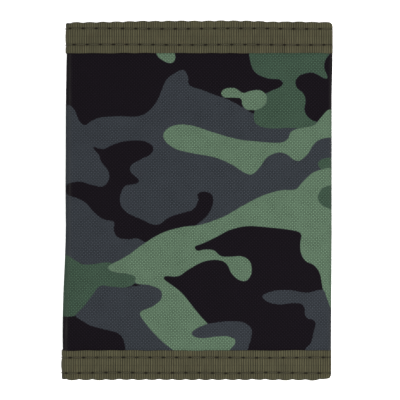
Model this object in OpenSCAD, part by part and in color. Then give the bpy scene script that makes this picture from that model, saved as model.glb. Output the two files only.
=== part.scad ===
// Trifold wallet, closed and lying on its back panel.
// X runs across the wallet, Y up its height, Z up through its thickness.
// The folded strip runs: front flap, left spine, back panel, right spine, inner flap.
// Each stretch is drawn flat as (u, y, w): u along the strip, w the depth from the outside.

/* [Overall] */

// Closed width of the wallet
wallet_width = 89.5; // [85:0.5:100]

// Closed height, over both binding tapes
wallet_height = 120; // [110:0.5:130]

// Closed thickness, which is also the length of the left spine
wallet_thickness = 14; // [13.8:0.1:16]

// Length of the right spine, round which the inner flap folds
inner_height = 8.7; // [8.7:0.1:9]

// Width of the inner flap
inner_width = 52; // [45:0.5:52]

// Outside radius of each fold
fold_radius = 1.8; // [1.5:0.1:2]

// Clear gap left on each side of a fold line
fold_gap = 0.2; // [0.1:0.05:0.3]

/* [Cloth] */

// Thickness of the outer cloth
shell_thickness = 0.6; // [0.4:0.1:0.8]

// Thickness of the inner wall of the note compartment
wall_thickness = 0.5; // [0.3:0.1:0.6]

// Depth of the note compartment in the flat panels
note_gap = 0.8; // [0.6:0.1:1]

// Depth of the note compartment in the spines
spine_gap = 0.1; // [0.1:0.05:0.2]

// How far the inner wall stops below the top of the outer cloth
wall_drop = 11.2; // [11:0.1:16]

// Width of the turned side edges
edge_width = 0.75; // [0.5:0.05:1.5]

/* [Binding tape] */

// Thickness of the binding tape
tape_thickness = 0.4; // [0.3:0.05:0.5]

// Width of the folded tape that shows on each side
tape_width = 10.6; // [8:0.1:12]

// Distance from each tape edge to its row of stitches
row_inset = 2.35; // [1.5:0.05:3]

// Thickness of the sewing thread that lies in the tape
thread_depth = 0.15; // [0.1:0.05:0.2]

// Width of a row of thread
thread_width = 0.4; // [0.3:0.05:0.6]

/* [Card pockets] */

// Height of the lowest pocket mouth above the wallet's middle
first_mouth = 0; // [-5:1:5]

// Step from one pocket mouth to the next
mouth_step = 12; // [8:0.5:12]

// Thickness of the pocket cloth
pocket_thickness = 0.35; // [0.25:0.05:0.4]

// Space behind each pocket
pocket_gap = 0.25; // [0.2:0.05:0.3]

// Half the width of the card pockets
pocket_half = 43.1; // [42:0.1:43.1]

// Width of the sewn edge of a pocket
seam_width = 0.3; // [0.2:0.05:0.6]

// Height of the bound edge at a pocket mouth
mouth_binding = 5; // [4:0.5:6]

/* [Identity window] */

// Width of the window's frame outside
window_width = 64; // [56:1:64]

// Height of the window's frame outside
window_height = 78; // [60:1:84]

// Width of the frame's border
window_border = 6; // [4:0.5:10]

// Thickness of the clear film
film_thickness = 0.25; // [0.15:0.05:0.3]

/* [Fastening] */

// Width of the hook strip and the loop strip
strip_width = 16; // [12:1:20]

// Length of the hook strip and the loop strip
strip_length = 60; // [40:1:90]

// Thickness of the hook strip
hook_thickness = 1.5; // [1.2:0.1:1.6]

// Thickness of the loop strip
loop_thickness = 1.6; // [1.2:0.1:1.7]

/* [Coin pocket] */

// Height of the zip above the wallet's middle
zip_height = 31; // [30:0.5:31.5]

// Length of the zip's tooth chains
zip_length = 41; // [30:1:42]

// Distance from the right fold to the first tooth
zip_start = 5.5; // [5:0.5:8]

// Depth of the coin pocket
coin_gap = 0.8; // [0.6:0.1:0.9]

// Half the gap between the two tooth chains
chain_gap = 0.45; // [0.4:0.05:0.6]

// Width of one tooth chain
chain_width = 1.35; // [1:0.05:1.6]

// Height of one tooth chain
chain_height = 1; // [0.8:0.1:1.1]

// Length of the slider
slider_length = 8; // [6:0.5:9]

// Half the width of the slider
slider_half = 2.8; // [2.6:0.1:3]

// Length of the pull tab, from its pin to its tip
puller_length = 10.5; // [8:0.5:11]

/* [Hidden] */

$fn = 64;
hair = 0.1;
top = wallet_height / 2;
half = wallet_width / 2;

shell_in = tape_thickness + shell_thickness;
wall_out = shell_in + note_gap;
wall_in = wall_out + wall_thickness;
spine_out = shell_in + spine_gap;
spine_in = spine_out + wall_thickness;
cloth_top = top - tape_thickness - hair;
tape_edge = top - tape_width;
wall_tape_top = top - wall_drop;
wall_top = wall_tape_top - tape_thickness;
wall_tape_edge = wall_tape_top - tape_width;

panel_start = spine_in + tape_thickness + fold_gap;
spine_start = wall_in + tape_thickness + fold_gap;

edge_reach = tape_edge - hair;
pocket_foot = -tape_edge + 2 * hair;
pocket_pitch = pocket_gap + pocket_thickness;
binding_lift = 0.2;

window_rise = -5;
window_left = 5;
film_gap = 0.15;
frame_thickness = 0.35;
film_out = wall_in + film_gap;
frame_out = film_out + film_thickness;

strip_inset = 2.5;
strip_rise = 0;

zip_tape_width = 6;
zip_tape_thickness = 0.4;
zip_tape_out = wall_in + coin_gap;
coin_out = zip_tape_out + zip_tape_thickness;
coin_in = coin_out + zip_tape_thickness;
coin_lip = 1.2;
coin_side = 2.6;
coin_top = wall_tape_edge - hair;
zip_mouth = 3.5;
chain_in = coin_out + chain_height;
stop_length = 1.5;
stop_lift = 0.2;

slider_start = zip_start + stop_length + slider_length / 2 + 0.4;
wing = 0.4;
wing_out = wall_in + 0.3;
plate_out = chain_in + 0.1;
plate_in = plate_out + 0.5;
flange = 0.6;
flange_out = coin_out + 0.15;
post_half = 0.25;
post_length = 1.4;
bridge_half = 1.2;
bridge_width = 0.6;
bridge_height = 0.9;
pin_radius = 0.28;
pin_bore = 0.35;
pin_depth = plate_in + 0.45;
puller_half = 1.7;
ear_width = 0.8;
puller_plate = 0.5;

// Where each stretch of the strip lies in the closed wallet.

module on_back() {
    translate([-half, 0, 0]) children();
}

module on_left_spine() {
    translate([-half, 0, wallet_thickness]) rotate([0, 90, 0]) children();
}

module on_front() {
    translate([half, 0, wallet_thickness]) rotate([0, 180, 0]) children();
}

module on_right_spine() {
    translate([half, 0, 0]) rotate([0, -90, 0]) children();
}

module on_inner() {
    translate([half, 0, inner_height]) rotate([0, 180, 0]) children();
}

// A flat (u, w) outline drawn out from y0 to y1.
module along(y0, y1) {
    translate([0, y1, 0]) rotate([90, 0, 0]) linear_extrude(height = y1 - y0) children();
}

module block(u0, u1, y0, y1, w0, w1) {
    translate([u0, y0, w0]) cube([u1 - u0, y1 - y0, w1 - w0]);
}

// The quarter-turned end of a layer, cut on the fold line.
module bend(w0, w1) {
    intersection() {
        difference() {
            translate([fold_radius, fold_radius]) circle(r = fold_radius - w0);
            if (w1 < fold_radius) {
                translate([fold_radius, fold_radius]) circle(r = fold_radius - w1);
            }
        }
        polygon([[fold_gap, 0], [fold_radius + hair, 0], [fold_radius + hair, fold_radius - fold_gap]]);
    }
}

// A layer of cloth between depths w0 and w1. from_fold and to_fold say which ends meet a fold.
module layer(length, w0, w1, from_fold, to_fold) {
    u0 = from_fold ? fold_radius : 0;
    u1 = to_fold ? length - fold_radius : length;
    translate([u0, w0]) square([u1 - u0, w1 - w0]);
    if (from_fold) {
        bend(w0, w1);
    }
    if (to_fold) {
        translate([length, 0]) mirror([1, 0]) bend(w0, w1);
    }
}

// A layer too deep to reach round the fold, so it stops short of it by start.
module deep_layer(length, w0, w1, start, from_fold, to_fold) {
    u0 = from_fold ? start : 0;
    u1 = to_fold ? length - start : length;
    translate([u0, w0]) square([u1 - u0, w1 - w0]);
}

module shell(length, from_fold, to_fold) {
    color([0.24, 0.28, 0.22])
    along(-cloth_top, cloth_top) layer(length, tape_thickness, shell_in, from_fold, to_fold);
}

module wall(length, w0, w1, start, from_fold, to_fold) {
    color([0.12, 0.12, 0.12])
    along(-cloth_top, wall_top) deep_layer(length, w0, w1, start, from_fold, to_fold);
}

module rows(length, edge, inner, from_fold, to_fold) {
    for (row = [edge, inner]) {
        along(row - thread_width / 2, row + thread_width / 2)
        layer(length, 0, thread_depth, from_fold, to_fold);
    }
}

module top_rows(length, from_fold, to_fold) {
    rows(length, top - row_inset, tape_edge + row_inset, from_fold, to_fold);
}

module bottom_rows(length, from_fold, to_fold) {
    rows(length, -top + row_inset, -tape_edge - row_inset, from_fold, to_fold);
}

// The tape folded over the top edge of the outer cloth.
module top_tape(length, from_fold, to_fold) {
    color([0.30, 0.29, 0.21])
    difference() {
        union() {
            along(tape_edge, top) layer(length, 0, tape_thickness, from_fold, to_fold);
            along(tape_edge, top)
            layer(length, shell_in, shell_in + tape_thickness, from_fold, to_fold);
            along(top - tape_thickness, top)
            layer(length, 0, shell_in + tape_thickness, from_fold, to_fold);
        }
        top_rows(length, from_fold, to_fold);
    }
}

// The tape folded over the bottom edges of the outer cloth and the inner wall together.
module bottom_tape(length, inside, start, from_fold, to_fold) {
    color([0.30, 0.29, 0.21])
    difference() {
        union() {
            along(-top, -tape_edge) layer(length, 0, tape_thickness, from_fold, to_fold);
            along(-top, -tape_edge)
            deep_layer(length, inside, inside + tape_thickness, start, from_fold, to_fold);
            along(-top, -top + tape_thickness) {
                layer(length, 0, fold_radius, from_fold, to_fold);
                deep_layer(length, fold_radius - hair, inside + tape_thickness, start,
                    from_fold, to_fold);
            }
        }
        bottom_rows(length, from_fold, to_fold);
    }
}

// The tape folded over the top edge of the inner wall.
module wall_tape(length, w0, w1, start, from_fold, to_fold) {
    lead = min(tape_thickness, w0 - shell_in - hair / 2);
    color([0.26, 0.25, 0.18])
    difference() {
        along(wall_tape_edge, wall_tape_top)
        deep_layer(length, w0 - lead, w1 + tape_thickness, start, from_fold, to_fold);
        along(wall_tape_edge - 1, wall_top)
        translate([-1, w0]) square([length + 2, w1 - w0]);
    }
}

// Outer cloth

module shell_front() {
    on_front() color([0.24, 0.28, 0.22])
    along(-cloth_top, cloth_top)
    intersection() {
        layer(wallet_width, tape_thickness, shell_in, false, true);
        translate([edge_width, 0]) square([wallet_width, wallet_thickness]);
    }
}

module shell_left_spine() {
    on_left_spine() shell(wallet_thickness, true, true);
}

module shell_back() {
    on_back() shell(wallet_width, true, true);
}

module shell_right_spine() {
    on_right_spine() shell(inner_height, true, true);
}

module shell_inner() {
    on_inner() shell(inner_width - edge_width, true, false);
}

// Inner wall of the note compartment

module wall_front() {
    on_front() color([0.12, 0.12, 0.12])
    along(-cloth_top, wall_top)
    translate([edge_width, wall_out])
    square([wallet_width - edge_width - panel_start, wall_thickness]);
}

module wall_left_spine() {
    on_left_spine() wall(wallet_thickness, spine_out, spine_in, spine_start, true, true);
}

module wall_back() {
    on_back() wall(wallet_width, wall_out, wall_in, panel_start, true, true);
}

module wall_right_spine() {
    on_right_spine() wall(inner_height, spine_out, spine_in, spine_start, true, true);
}

module wall_inner() {
    on_inner() wall(inner_width - edge_width, wall_out, wall_in, panel_start, true, false);
}

// Binding tapes

module top_tape_front() {
    on_front() top_tape(wallet_width, false, true);
}

module top_tape_left_spine() {
    on_left_spine() top_tape(wallet_thickness, true, true);
}

module top_tape_back() {
    on_back() top_tape(wallet_width, true, true);
}

module top_tape_right_spine() {
    on_right_spine() top_tape(inner_height, true, true);
}

module top_tape_inner() {
    on_inner() top_tape(inner_width, true, false);
}

module bottom_tape_front() {
    on_front() bottom_tape(wallet_width, wall_in, panel_start, false, true);
}

module bottom_tape_left_spine() {
    on_left_spine() bottom_tape(wallet_thickness, spine_in, spine_start, true, true);
}

module bottom_tape_back() {
    on_back() bottom_tape(wallet_width, wall_in, panel_start, true, true);
}

module bottom_tape_right_spine() {
    on_right_spine() bottom_tape(inner_height, spine_in, spine_start, true, true);
}

module bottom_tape_inner() {
    on_inner() bottom_tape(inner_width, wall_in, panel_start, true, false);
}

module wall_tape_front() {
    on_front() translate([edge_width, 0, 0])
    wall_tape(wallet_width - edge_width, wall_out, wall_in, panel_start, false, true);
}

module wall_tape_left_spine() {
    on_left_spine()
    wall_tape(wallet_thickness, spine_out, spine_in, spine_start, true, true);
}

module wall_tape_back() {
    on_back() wall_tape(wallet_width, wall_out, wall_in, panel_start, true, true);
}

module wall_tape_right_spine() {
    on_right_spine() wall_tape(inner_height, spine_out, spine_in, spine_start, true, true);
}

module wall_tape_inner() {
    on_inner()
    wall_tape(inner_width - edge_width, wall_out, wall_in, panel_start, true, false);
}

// Sewing thread, let into the tapes

module top_thread_front() {
    color([0.16, 0.16, 0.12]) on_front() top_rows(wallet_width, false, true);
}

module top_thread_left_spine() {
    color([0.16, 0.16, 0.12]) on_left_spine() top_rows(wallet_thickness, true, true);
}

module top_thread_back() {
    color([0.16, 0.16, 0.12]) on_back() top_rows(wallet_width, true, true);
}

module top_thread_right_spine() {
    color([0.16, 0.16, 0.12]) on_right_spine() top_rows(inner_height, true, true);
}

module top_thread_inner() {
    color([0.16, 0.16, 0.12]) on_inner() top_rows(inner_width, true, false);
}

module bottom_thread_front() {
    color([0.16, 0.16, 0.12]) on_front() bottom_rows(wallet_width, false, true);
}

module bottom_thread_left_spine() {
    color([0.16, 0.16, 0.12]) on_left_spine() bottom_rows(wallet_thickness, true, true);
}

module bottom_thread_back() {
    color([0.16, 0.16, 0.12]) on_back() bottom_rows(wallet_width, true, true);
}

module bottom_thread_right_spine() {
    color([0.16, 0.16, 0.12]) on_right_spine() bottom_rows(inner_height, true, true);
}

module bottom_thread_inner() {
    color([0.16, 0.16, 0.12]) on_inner() bottom_rows(inner_width, true, false);
}

// Turned side edges, which close the note compartment at its two ends

module side_edge_front() {
    color([0.24, 0.28, 0.22])
    on_front() block(0, edge_width, -edge_reach, edge_reach, tape_thickness, wall_in);
}

module side_edge_inner() {
    color([0.24, 0.28, 0.22])
    on_inner()
    block(inner_width - edge_width, inner_width, -edge_reach, edge_reach,
        tape_thickness, wall_in);
}

// Card pockets on the back panel, rank 0 against the wall

function pocket_base(rank) = wall_in + rank * pocket_pitch;

function pocket_mouth(rank) = first_mouth + (2 - rank) * mouth_step;

module card_pocket(rank) {
    base = pocket_base(rank);
    mouth = pocket_mouth(rank);
    left = half - pocket_half;
    right = half + pocket_half;
    color([0.15, 0.15, 0.14])
    on_back() {
        block(left, right, pocket_foot, mouth, base + pocket_gap, base + pocket_pitch);
        block(left, left + seam_width, pocket_foot, mouth, base, base + pocket_pitch);
        block(right - seam_width, right, pocket_foot, mouth, base, base + pocket_pitch);
        block(left, right, pocket_foot, pocket_foot + 1, base, base + pocket_pitch);
    }
}

module pocket_binding(rank) {
    base = pocket_base(rank) + pocket_pitch;
    mouth = pocket_mouth(rank);
    left = half - pocket_half;
    right = half + pocket_half;
    color([0.28, 0.27, 0.20])
    on_back() {
        block(left, right, mouth - mouth_binding, mouth + binding_lift, base, base + binding_lift);
        block(left, right, mouth, mouth + binding_lift, base - pocket_thickness, base + hair);
    }
}

module card_pocket_rear() {
    card_pocket(0);
}

module card_pocket_middle() {
    card_pocket(1);
}

module card_pocket_front() {
    card_pocket(2);
}

module pocket_binding_rear() {
    pocket_binding(0);
}

module pocket_binding_middle() {
    pocket_binding(1);
}

module pocket_binding_front() {
    pocket_binding(2);
}

// Identity window on the front flap, towards the left fold

module window_frame() {
    u1 = wallet_width - window_left;
    u0 = u1 - window_width;
    y0 = window_rise - window_height / 2;
    y1 = window_rise + window_height / 2;
    color([0.15, 0.15, 0.14])
    on_front() {
        difference() {
            block(u0, u1, y0, y1, frame_out, frame_out + frame_thickness);
            block(u0 + window_border, u1 - window_border, y0 + window_border,
                y1 - window_border, frame_out - hair, frame_out + 1);
        }
        block(u0, u0 + 1, y0, y1, wall_in, frame_out + hair);
        block(u1 - 1, u1, y0, y1, wall_in, frame_out + hair);
        block(u0, u1, y0, y0 + 1, wall_in, frame_out + hair);
    }
}

module window_film() {
    u1 = wallet_width - window_left;
    u0 = u1 - window_width;
    y0 = window_rise - window_height / 2;
    y1 = window_rise + window_height / 2;
    color([0.85, 0.88, 0.90, 0.35])
    on_front() block(u0 + 1, u1 - 1, y0 + 1, y1 - 1, film_out, frame_out);
}

// Hook strip inside the front flap, and the loop strip it grips on the inner flap

module hook_strip() {
    color([0.08, 0.08, 0.08])
    on_front()
    block(strip_inset, strip_inset + strip_width, strip_rise - strip_length / 2,
        strip_rise + strip_length / 2, wall_in, wall_in + hook_thickness);
}

module loop_strip() {
    color([0.10, 0.10, 0.10])
    on_inner()
    block(strip_inset, strip_inset + strip_width, strip_rise - strip_length / 2,
        strip_rise + strip_length / 2, tape_thickness - loop_thickness, tape_thickness);
}

// Coin pocket with its zip, on the inner face of the inner flap

module coin_panel_lower() {
    u1 = inner_width - edge_width;
    mouth = zip_height - zip_mouth;
    color([0.15, 0.15, 0.14])
    on_inner() {
        block(coin_side, u1, pocket_foot, mouth, coin_out, coin_in);
        block(coin_side, coin_side + coin_lip, pocket_foot, mouth - zip_tape_width,
            wall_in, coin_in);
        block(u1 - coin_lip, u1, pocket_foot, mouth - zip_tape_width, wall_in, coin_in);
        block(coin_side, u1, pocket_foot, pocket_foot + coin_lip, wall_in, coin_in);
    }
}

module coin_panel_upper() {
    u1 = inner_width - edge_width;
    mouth = zip_height + zip_mouth;
    zip_tape_top = zip_height + chain_gap + zip_tape_width;
    color([0.15, 0.15, 0.14])
    on_inner() {
        block(coin_side, u1, mouth, coin_top, coin_out, coin_in);
        block(coin_side, u1, zip_tape_top + hair, coin_top, wall_in, coin_in);
    }
}

module zip_tape_lower() {
    y1 = zip_height - chain_gap;
    color([0.09, 0.09, 0.09])
    on_inner()
    block(coin_side, inner_width - edge_width, y1 - zip_tape_width, y1, zip_tape_out, coin_out);
}

module zip_tape_upper() {
    y0 = zip_height + chain_gap;
    color([0.09, 0.09, 0.09])
    on_inner()
    block(coin_side, inner_width - edge_width, y0, y0 + zip_tape_width, zip_tape_out, coin_out);
}

module zip_chain_lower() {
    y1 = zip_height - chain_gap;
    color([0.06, 0.06, 0.06])
    on_inner()
    block(zip_start, zip_start + zip_length, y1 - chain_width, y1, coin_out, chain_in);
}

module zip_chain_upper() {
    y0 = zip_height + chain_gap;
    color([0.06, 0.06, 0.06])
    on_inner()
    block(zip_start, zip_start + zip_length, y0, y0 + chain_width, coin_out, chain_in);
}

// A metal stop that clips over both chains at one end of the zip
module zip_stop(u0) {
    reach = chain_gap + chain_width;
    color([0.60, 0.50, 0.28])
    on_inner()
    difference() {
        block(u0, u0 + stop_length, zip_height - reach - hair, zip_height + reach + hair,
            coin_out, chain_in + stop_lift);
        for (side = [-1, 1]) {
            middle = zip_height + side * (chain_gap + chain_width / 2);
            block(u0 - 1, u0 + stop_length + 1, middle - chain_width / 2,
                middle + chain_width / 2, coin_out - 1, chain_in);
        }
    }
}

module zip_stop_closed() {
    zip_stop(zip_start);
}

module zip_stop_open() {
    zip_stop(zip_start + zip_length - stop_length);
}

module zip_slider() {
    reach = slider_length / 2;
    color([0.60, 0.50, 0.28])
    on_inner() translate([slider_start, zip_height, 0]) {
        block(-reach, reach, -slider_half + 0.2, slider_half - 0.2, wing_out, wing_out + wing);
        block(-reach + hair, -reach + hair + post_length, -post_half, post_half,
            wing_out, plate_in);
        block(-reach, reach, -slider_half, slider_half, plate_out, plate_in);
        for (side = [-1, 1]) {
            middle = side * (slider_half - flange / 2);
            block(-reach, reach, middle - flange / 2, middle + flange / 2,
                flange_out, plate_in);
        }
        difference() {
            block(-bridge_half, bridge_half, -bridge_width, bridge_width,
                plate_in - hair, plate_in + bridge_height);
            translate([0, 1, pin_depth]) rotate([90, 0, 0]) cylinder(r = pin_bore, h = 2);
        }
    }
}

module zip_puller() {
    color([0.60, 0.50, 0.28])
    on_inner() translate([slider_start, zip_height, pin_depth]) {
        translate([0, puller_half, 0])
        rotate([90, 0, 0]) cylinder(r = pin_radius, h = 2 * puller_half);
        for (side = [-1, 1]) {
            middle = side * (puller_half - ear_width / 2);
            block(-pin_radius, bridge_half + 1, middle - ear_width / 2, middle + ear_width / 2,
                -pin_radius, puller_plate - pin_radius);
        }
        block(bridge_half + 0.5, puller_length, -puller_half, puller_half,
            -pin_radius, puller_plate - pin_radius);
    }
}

shell_front();
shell_left_spine();
shell_back();
shell_right_spine();
shell_inner();
wall_front();
wall_left_spine();
wall_back();
wall_right_spine();
wall_inner();
top_tape_front();
top_tape_left_spine();
top_tape_back();
top_tape_right_spine();
top_tape_inner();
bottom_tape_front();
bottom_tape_left_spine();
bottom_tape_back();
bottom_tape_right_spine();
bottom_tape_inner();
wall_tape_front();
wall_tape_left_spine();
wall_tape_back();
wall_tape_right_spine();
wall_tape_inner();
top_thread_front();
top_thread_left_spine();
top_thread_back();
top_thread_right_spine();
top_thread_inner();
bottom_thread_front();
bottom_thread_left_spine();
bottom_thread_back();
bottom_thread_right_spine();
bottom_thread_inner();
side_edge_front();
side_edge_inner();
card_pocket_rear();
card_pocket_middle();
card_pocket_front();
pocket_binding_rear();
pocket_binding_middle();
pocket_binding_front();
window_frame();
window_film();
hook_strip();
loop_strip();
coin_panel_lower();
coin_panel_upper();
zip_tape_lower();
zip_tape_upper();
zip_chain_lower();
zip_chain_upper();
zip_stop_closed();
zip_stop_open();
zip_slider();
zip_puller();
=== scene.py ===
"""A trifold wallet in printed cloth: each layer is laid out flat, sewn, then folded round the frame."""

import math

import bmesh
import bpy
import numpy as np
from mathutils import Matrix, Vector


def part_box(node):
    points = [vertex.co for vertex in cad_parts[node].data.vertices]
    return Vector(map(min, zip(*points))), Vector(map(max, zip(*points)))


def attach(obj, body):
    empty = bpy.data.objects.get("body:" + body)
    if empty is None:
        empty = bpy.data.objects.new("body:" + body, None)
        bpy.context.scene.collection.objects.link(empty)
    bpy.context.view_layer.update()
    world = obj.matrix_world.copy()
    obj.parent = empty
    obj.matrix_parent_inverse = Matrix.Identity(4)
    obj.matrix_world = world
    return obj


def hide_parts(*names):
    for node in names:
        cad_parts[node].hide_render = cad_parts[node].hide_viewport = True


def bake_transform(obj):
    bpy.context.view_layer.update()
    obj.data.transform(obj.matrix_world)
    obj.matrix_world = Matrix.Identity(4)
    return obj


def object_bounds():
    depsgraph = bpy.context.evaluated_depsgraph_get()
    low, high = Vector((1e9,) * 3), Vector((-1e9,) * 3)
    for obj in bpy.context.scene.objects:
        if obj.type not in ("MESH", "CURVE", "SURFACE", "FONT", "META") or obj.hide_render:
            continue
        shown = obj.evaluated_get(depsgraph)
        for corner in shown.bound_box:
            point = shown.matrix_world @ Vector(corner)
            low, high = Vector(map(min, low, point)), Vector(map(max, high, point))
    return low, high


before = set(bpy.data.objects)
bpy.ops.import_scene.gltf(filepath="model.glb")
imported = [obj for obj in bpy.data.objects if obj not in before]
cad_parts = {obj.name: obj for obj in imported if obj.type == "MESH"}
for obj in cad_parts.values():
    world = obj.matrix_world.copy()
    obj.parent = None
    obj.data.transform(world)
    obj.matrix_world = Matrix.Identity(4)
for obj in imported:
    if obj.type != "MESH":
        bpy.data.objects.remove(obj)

CAD_BOX = [list(corner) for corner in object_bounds()]

bl_info = {
    "name": "Trifold Wallet",
    "version": (1, 0, 0),
    "blender": (4, 5, 0),
    "location": "View3D > Sidebar > Wallet",
    "description": "Builds a trifold wallet in printed cloth with bound edges",
    "category": "Add Mesh",
}

MM = 0.001

# The strip's own measurements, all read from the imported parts.
HALF = CAD_BOX[1][0]
TOP = CAD_BOX[1][1]
WIDE = CAD_BOX[1][0] - CAD_BOX[0][0]
THICK = CAD_BOX[1][2]
INNER_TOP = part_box("top_tape_inner")[1].z
INNER_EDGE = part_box("top_tape_inner")[0].x
TAPE_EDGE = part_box("top_tape_front")[0].y
WALL_TAPE_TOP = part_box("wall_tape_front")[1].y
WALL_TAPE_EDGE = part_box("wall_tape_front")[0].y
WALL_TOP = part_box("wall_back")[1].y
CLOTH_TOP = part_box("shell_back")[1].y
SHELL_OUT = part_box("shell_back")[0].z
SHELL_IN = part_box("top_tape_inner")[1].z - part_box("top_tape_inner")[0].z - SHELL_OUT
WALL_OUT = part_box("wall_back")[0].z
WALL_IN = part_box("wall_back")[1].z
TAPE = SHELL_OUT
SPINE_WALL_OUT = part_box("wall_left_spine")[0].x + HALF
SPINE_WALL_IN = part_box("wall_left_spine")[1].x + HALF
SIDE_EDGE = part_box("side_edge_front")[1].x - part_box("side_edge_front")[0].x
RADIUS = 1.8 * MM

# The unfolded strip runs from the front flap's free edge to the inner flap's free edge.
LENGTHS = np.array([2 * HALF, THICK, 2 * HALF, INNER_TOP, HALF - INNER_EDGE])
CORNERS = np.cumsum(LENGTHS)[:-1]
STRIP_END = float(LENGTHS.sum())
STARTS = np.array([(HALF, THICK), (-HALF, THICK), (-HALF, 0), (HALF, 0), (HALF, INNER_TOP)])
ALONG = np.array([(-1, 0), (0, -1), (1, 0), (0, 1), (-1, 0)], float)
INWARD = np.array([(0, -1), (1, 0), (0, 1), (-1, 0), (0, -1)], float)
LEFT_MIDDLE = float(CORNERS[0] + CORNERS[1]) / 2
BACK_MIDDLE = float(CORNERS[1] + CORNERS[2]) / 2
RIGHT_MIDDLE = float(CORNERS[2] + CORNERS[3]) / 2

# Name, first and last place on the strip, bodies before and after the fold, and the fold's number.
STRETCHES = [
    ("front", 0.0, LEFT_MIDDLE, "front_flap", "left_spine", 0),
    ("back_left", LEFT_MIDDLE, BACK_MIDDLE, "left_spine", "back_panel", 1),
    ("back_right", BACK_MIDDLE, RIGHT_MIDDLE, "back_panel", "right_spine", 2),
    ("inner", RIGHT_MIDDLE, STRIP_END, "right_spine", "inner_flap", 3),
]
STANDS_FOR = {
    "front": ("front", "left_spine"),
    "back_left": ("back", "left_spine"),
    "back_right": ("back", "right_spine"),
    "inner": ("inner", "right_spine"),
}

# How deep each layer lies in the flat panels, in the spines and in the folds.
DEEP = 10 * MM
PANEL_DEPTH = [0, SHELL_IN, WALL_OUT, WALL_IN + TAPE, DEEP]
SPINE_DEPTH = [0, SHELL_IN, SPINE_WALL_OUT, SPINE_WALL_IN + TAPE, DEEP - 0.7 * MM]
FOLD_DEPTH = [0, 0.9 * MM, 0.95 * MM, 1.6 * MM, 1.7 * MM]

# Stitching: rows of lockstitch through the bound edges.
STITCH = 4.4 * MM
RIB = 0.77 * MM
TOP_ROWS = (57.6 * MM, 52.2 * MM)
BOTTOM_ROWS = (-57.6 * MM, -52.45 * MM)
BOTTOM_TAPE_EDGE = -50.1 * MM
WALL_ROWS = (WALL_TAPE_TOP - 2.3 * MM, WALL_TAPE_EDGE + 2.4 * MM)


def ease(x):
    """A smooth step from 0 to 1."""
    x = np.clip(x, 0, 1)
    return x * x * (3 - 2 * x)


def lean(x, y):
    """The wallet sags to the left towards its bottom edge, more on its folded side than on its free side."""
    most = np.interp(x, (-WIDE / 2, WIDE / 2), (-1.35 * MM, -0.22 * MM))
    waist = 0.25 * MM * ease((x - WIDE / 2 + 3 * MM) / (3 * MM)) * ease((48 * MM - y) / (14 * MM))
    return most * ease((-y - 6 * MM) / (46 * MM)) - waist


def depth(t, w):
    """The depth w of a layer as it lies once folded, at place t on the strip."""
    gap = np.abs(t[:, None] - CORNERS[None, :]).min(1)
    in_spine = ((t > CORNERS[0]) & (t < CORNERS[1])) | ((t > CORNERS[2]) & (t < CORNERS[3]))
    spine_share = np.where(in_spine, 1.0, ease(1 - gap / (4 * MM)))
    fold_share = ease(1.4 - gap / RADIUS)
    inside = np.maximum(w, 0)
    panel = np.interp(inside, PANEL_DEPTH, PANEL_DEPTH)
    spine = np.interp(inside, PANEL_DEPTH, SPINE_DEPTH)
    fold = np.interp(inside, PANEL_DEPTH, FOLD_DEPTH)
    w1 = panel + spine_share * (spine - panel)
    return w1 + fold_share * (fold - w1) + np.minimum(w, 0)


def fold_up(flat):
    """Points of the flat strip (place along it, height, depth) as they lie in the closed wallet."""
    t, y, w = flat[:, 0], flat[:, 1], depth(flat[:, 0], flat[:, 2])
    i = np.clip(np.searchsorted(CORNERS, t), 0, len(LENGTHS) - 1)
    begin = np.concatenate([[0], CORNERS])[i]
    xz = STARTS[i] + ALONG[i] * (t - begin)[:, None] + INWARD[i] * w[:, None]
    for k, corner in enumerate(CORNERS):
        near = np.abs(t - corner) < RADIUS
        turn = (t[near] - corner + RADIUS) / (2 * RADIUS) * math.pi / 2
        centre = STARTS[k + 1] + RADIUS * (INWARD[k] + INWARD[k + 1])
        out = np.cos(turn)[:, None] * INWARD[k] + np.sin(turn)[:, None] * INWARD[k + 1]
        xz[near] = centre - (RADIUS - w[near])[:, None] * out
    return np.stack([xz[:, 0] + lean(xz[:, 0], y), y, xz[:, 1]], axis=1)


def on_strip(t, y=0.0, w=0.0):
    return Vector(fold_up(np.array([[t, y, w]], float))[0])


def waves(t, y, seed, size):
    """Smooth unevenness from -1 to 1 with bumps about size metres across."""
    r = np.random.default_rng(seed)
    total = np.zeros(len(t))
    for _ in range(7):
        angle, phase = r.uniform(0, 2 * math.pi, 2)
        k = 2 * math.pi / (size * r.uniform(0.6, 1.8))
        total += np.sin(k * (t * math.cos(angle) + y * math.sin(angle)) + phase)
    return total / 4


# Camouflage print. Outlines are in millimetres: across the panel from its left fold, and up from its middle.

SLATE_WIDE = [(-5, 27), (-2, 31), (1, 32), (3, 30.5), (4.5, 27), (6.5, 25.3), (9, 26.8), (12, 27.9),
    (18, 28.3), (24, 28.2), (28, 30), (31, 34), (33.5, 40), (36.5, 42.6), (39.5, 43.8), (41, 41.5),
    (41.5, 38.6), (46, 37), (50, 35.4), (54, 34), (58, 32), (63, 29), (70, 26), (80, 24), (90, 22),
    (97, 17), (98, 8), (93, 2), (84, 0), (75, -2), (60, -8), (45, -13), (30, -18), (20, -21.5),
    (13, -20.8), (7, -21.2), (3, -19.8), (0, -18.3), (-4, -16), (-7, -6), (-6.5, 12)]
MOSS_CORNER = [(61.5, 54), (61.8, 47), (63.5, 43), (67.5, 41), (71.5, 40.6), (72.8, 39.4), (71.8, 38),
    (68.5, 36.6), (66, 35), (64, 31.6), (63, 28), (64.3, 25.3), (68.8, 24.2), (75, 24.4), (80, 24),
    (87, 24), (94, 28), (99, 38), (98, 50), (92, 57), (76, 60), (66, 59)]
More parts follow.
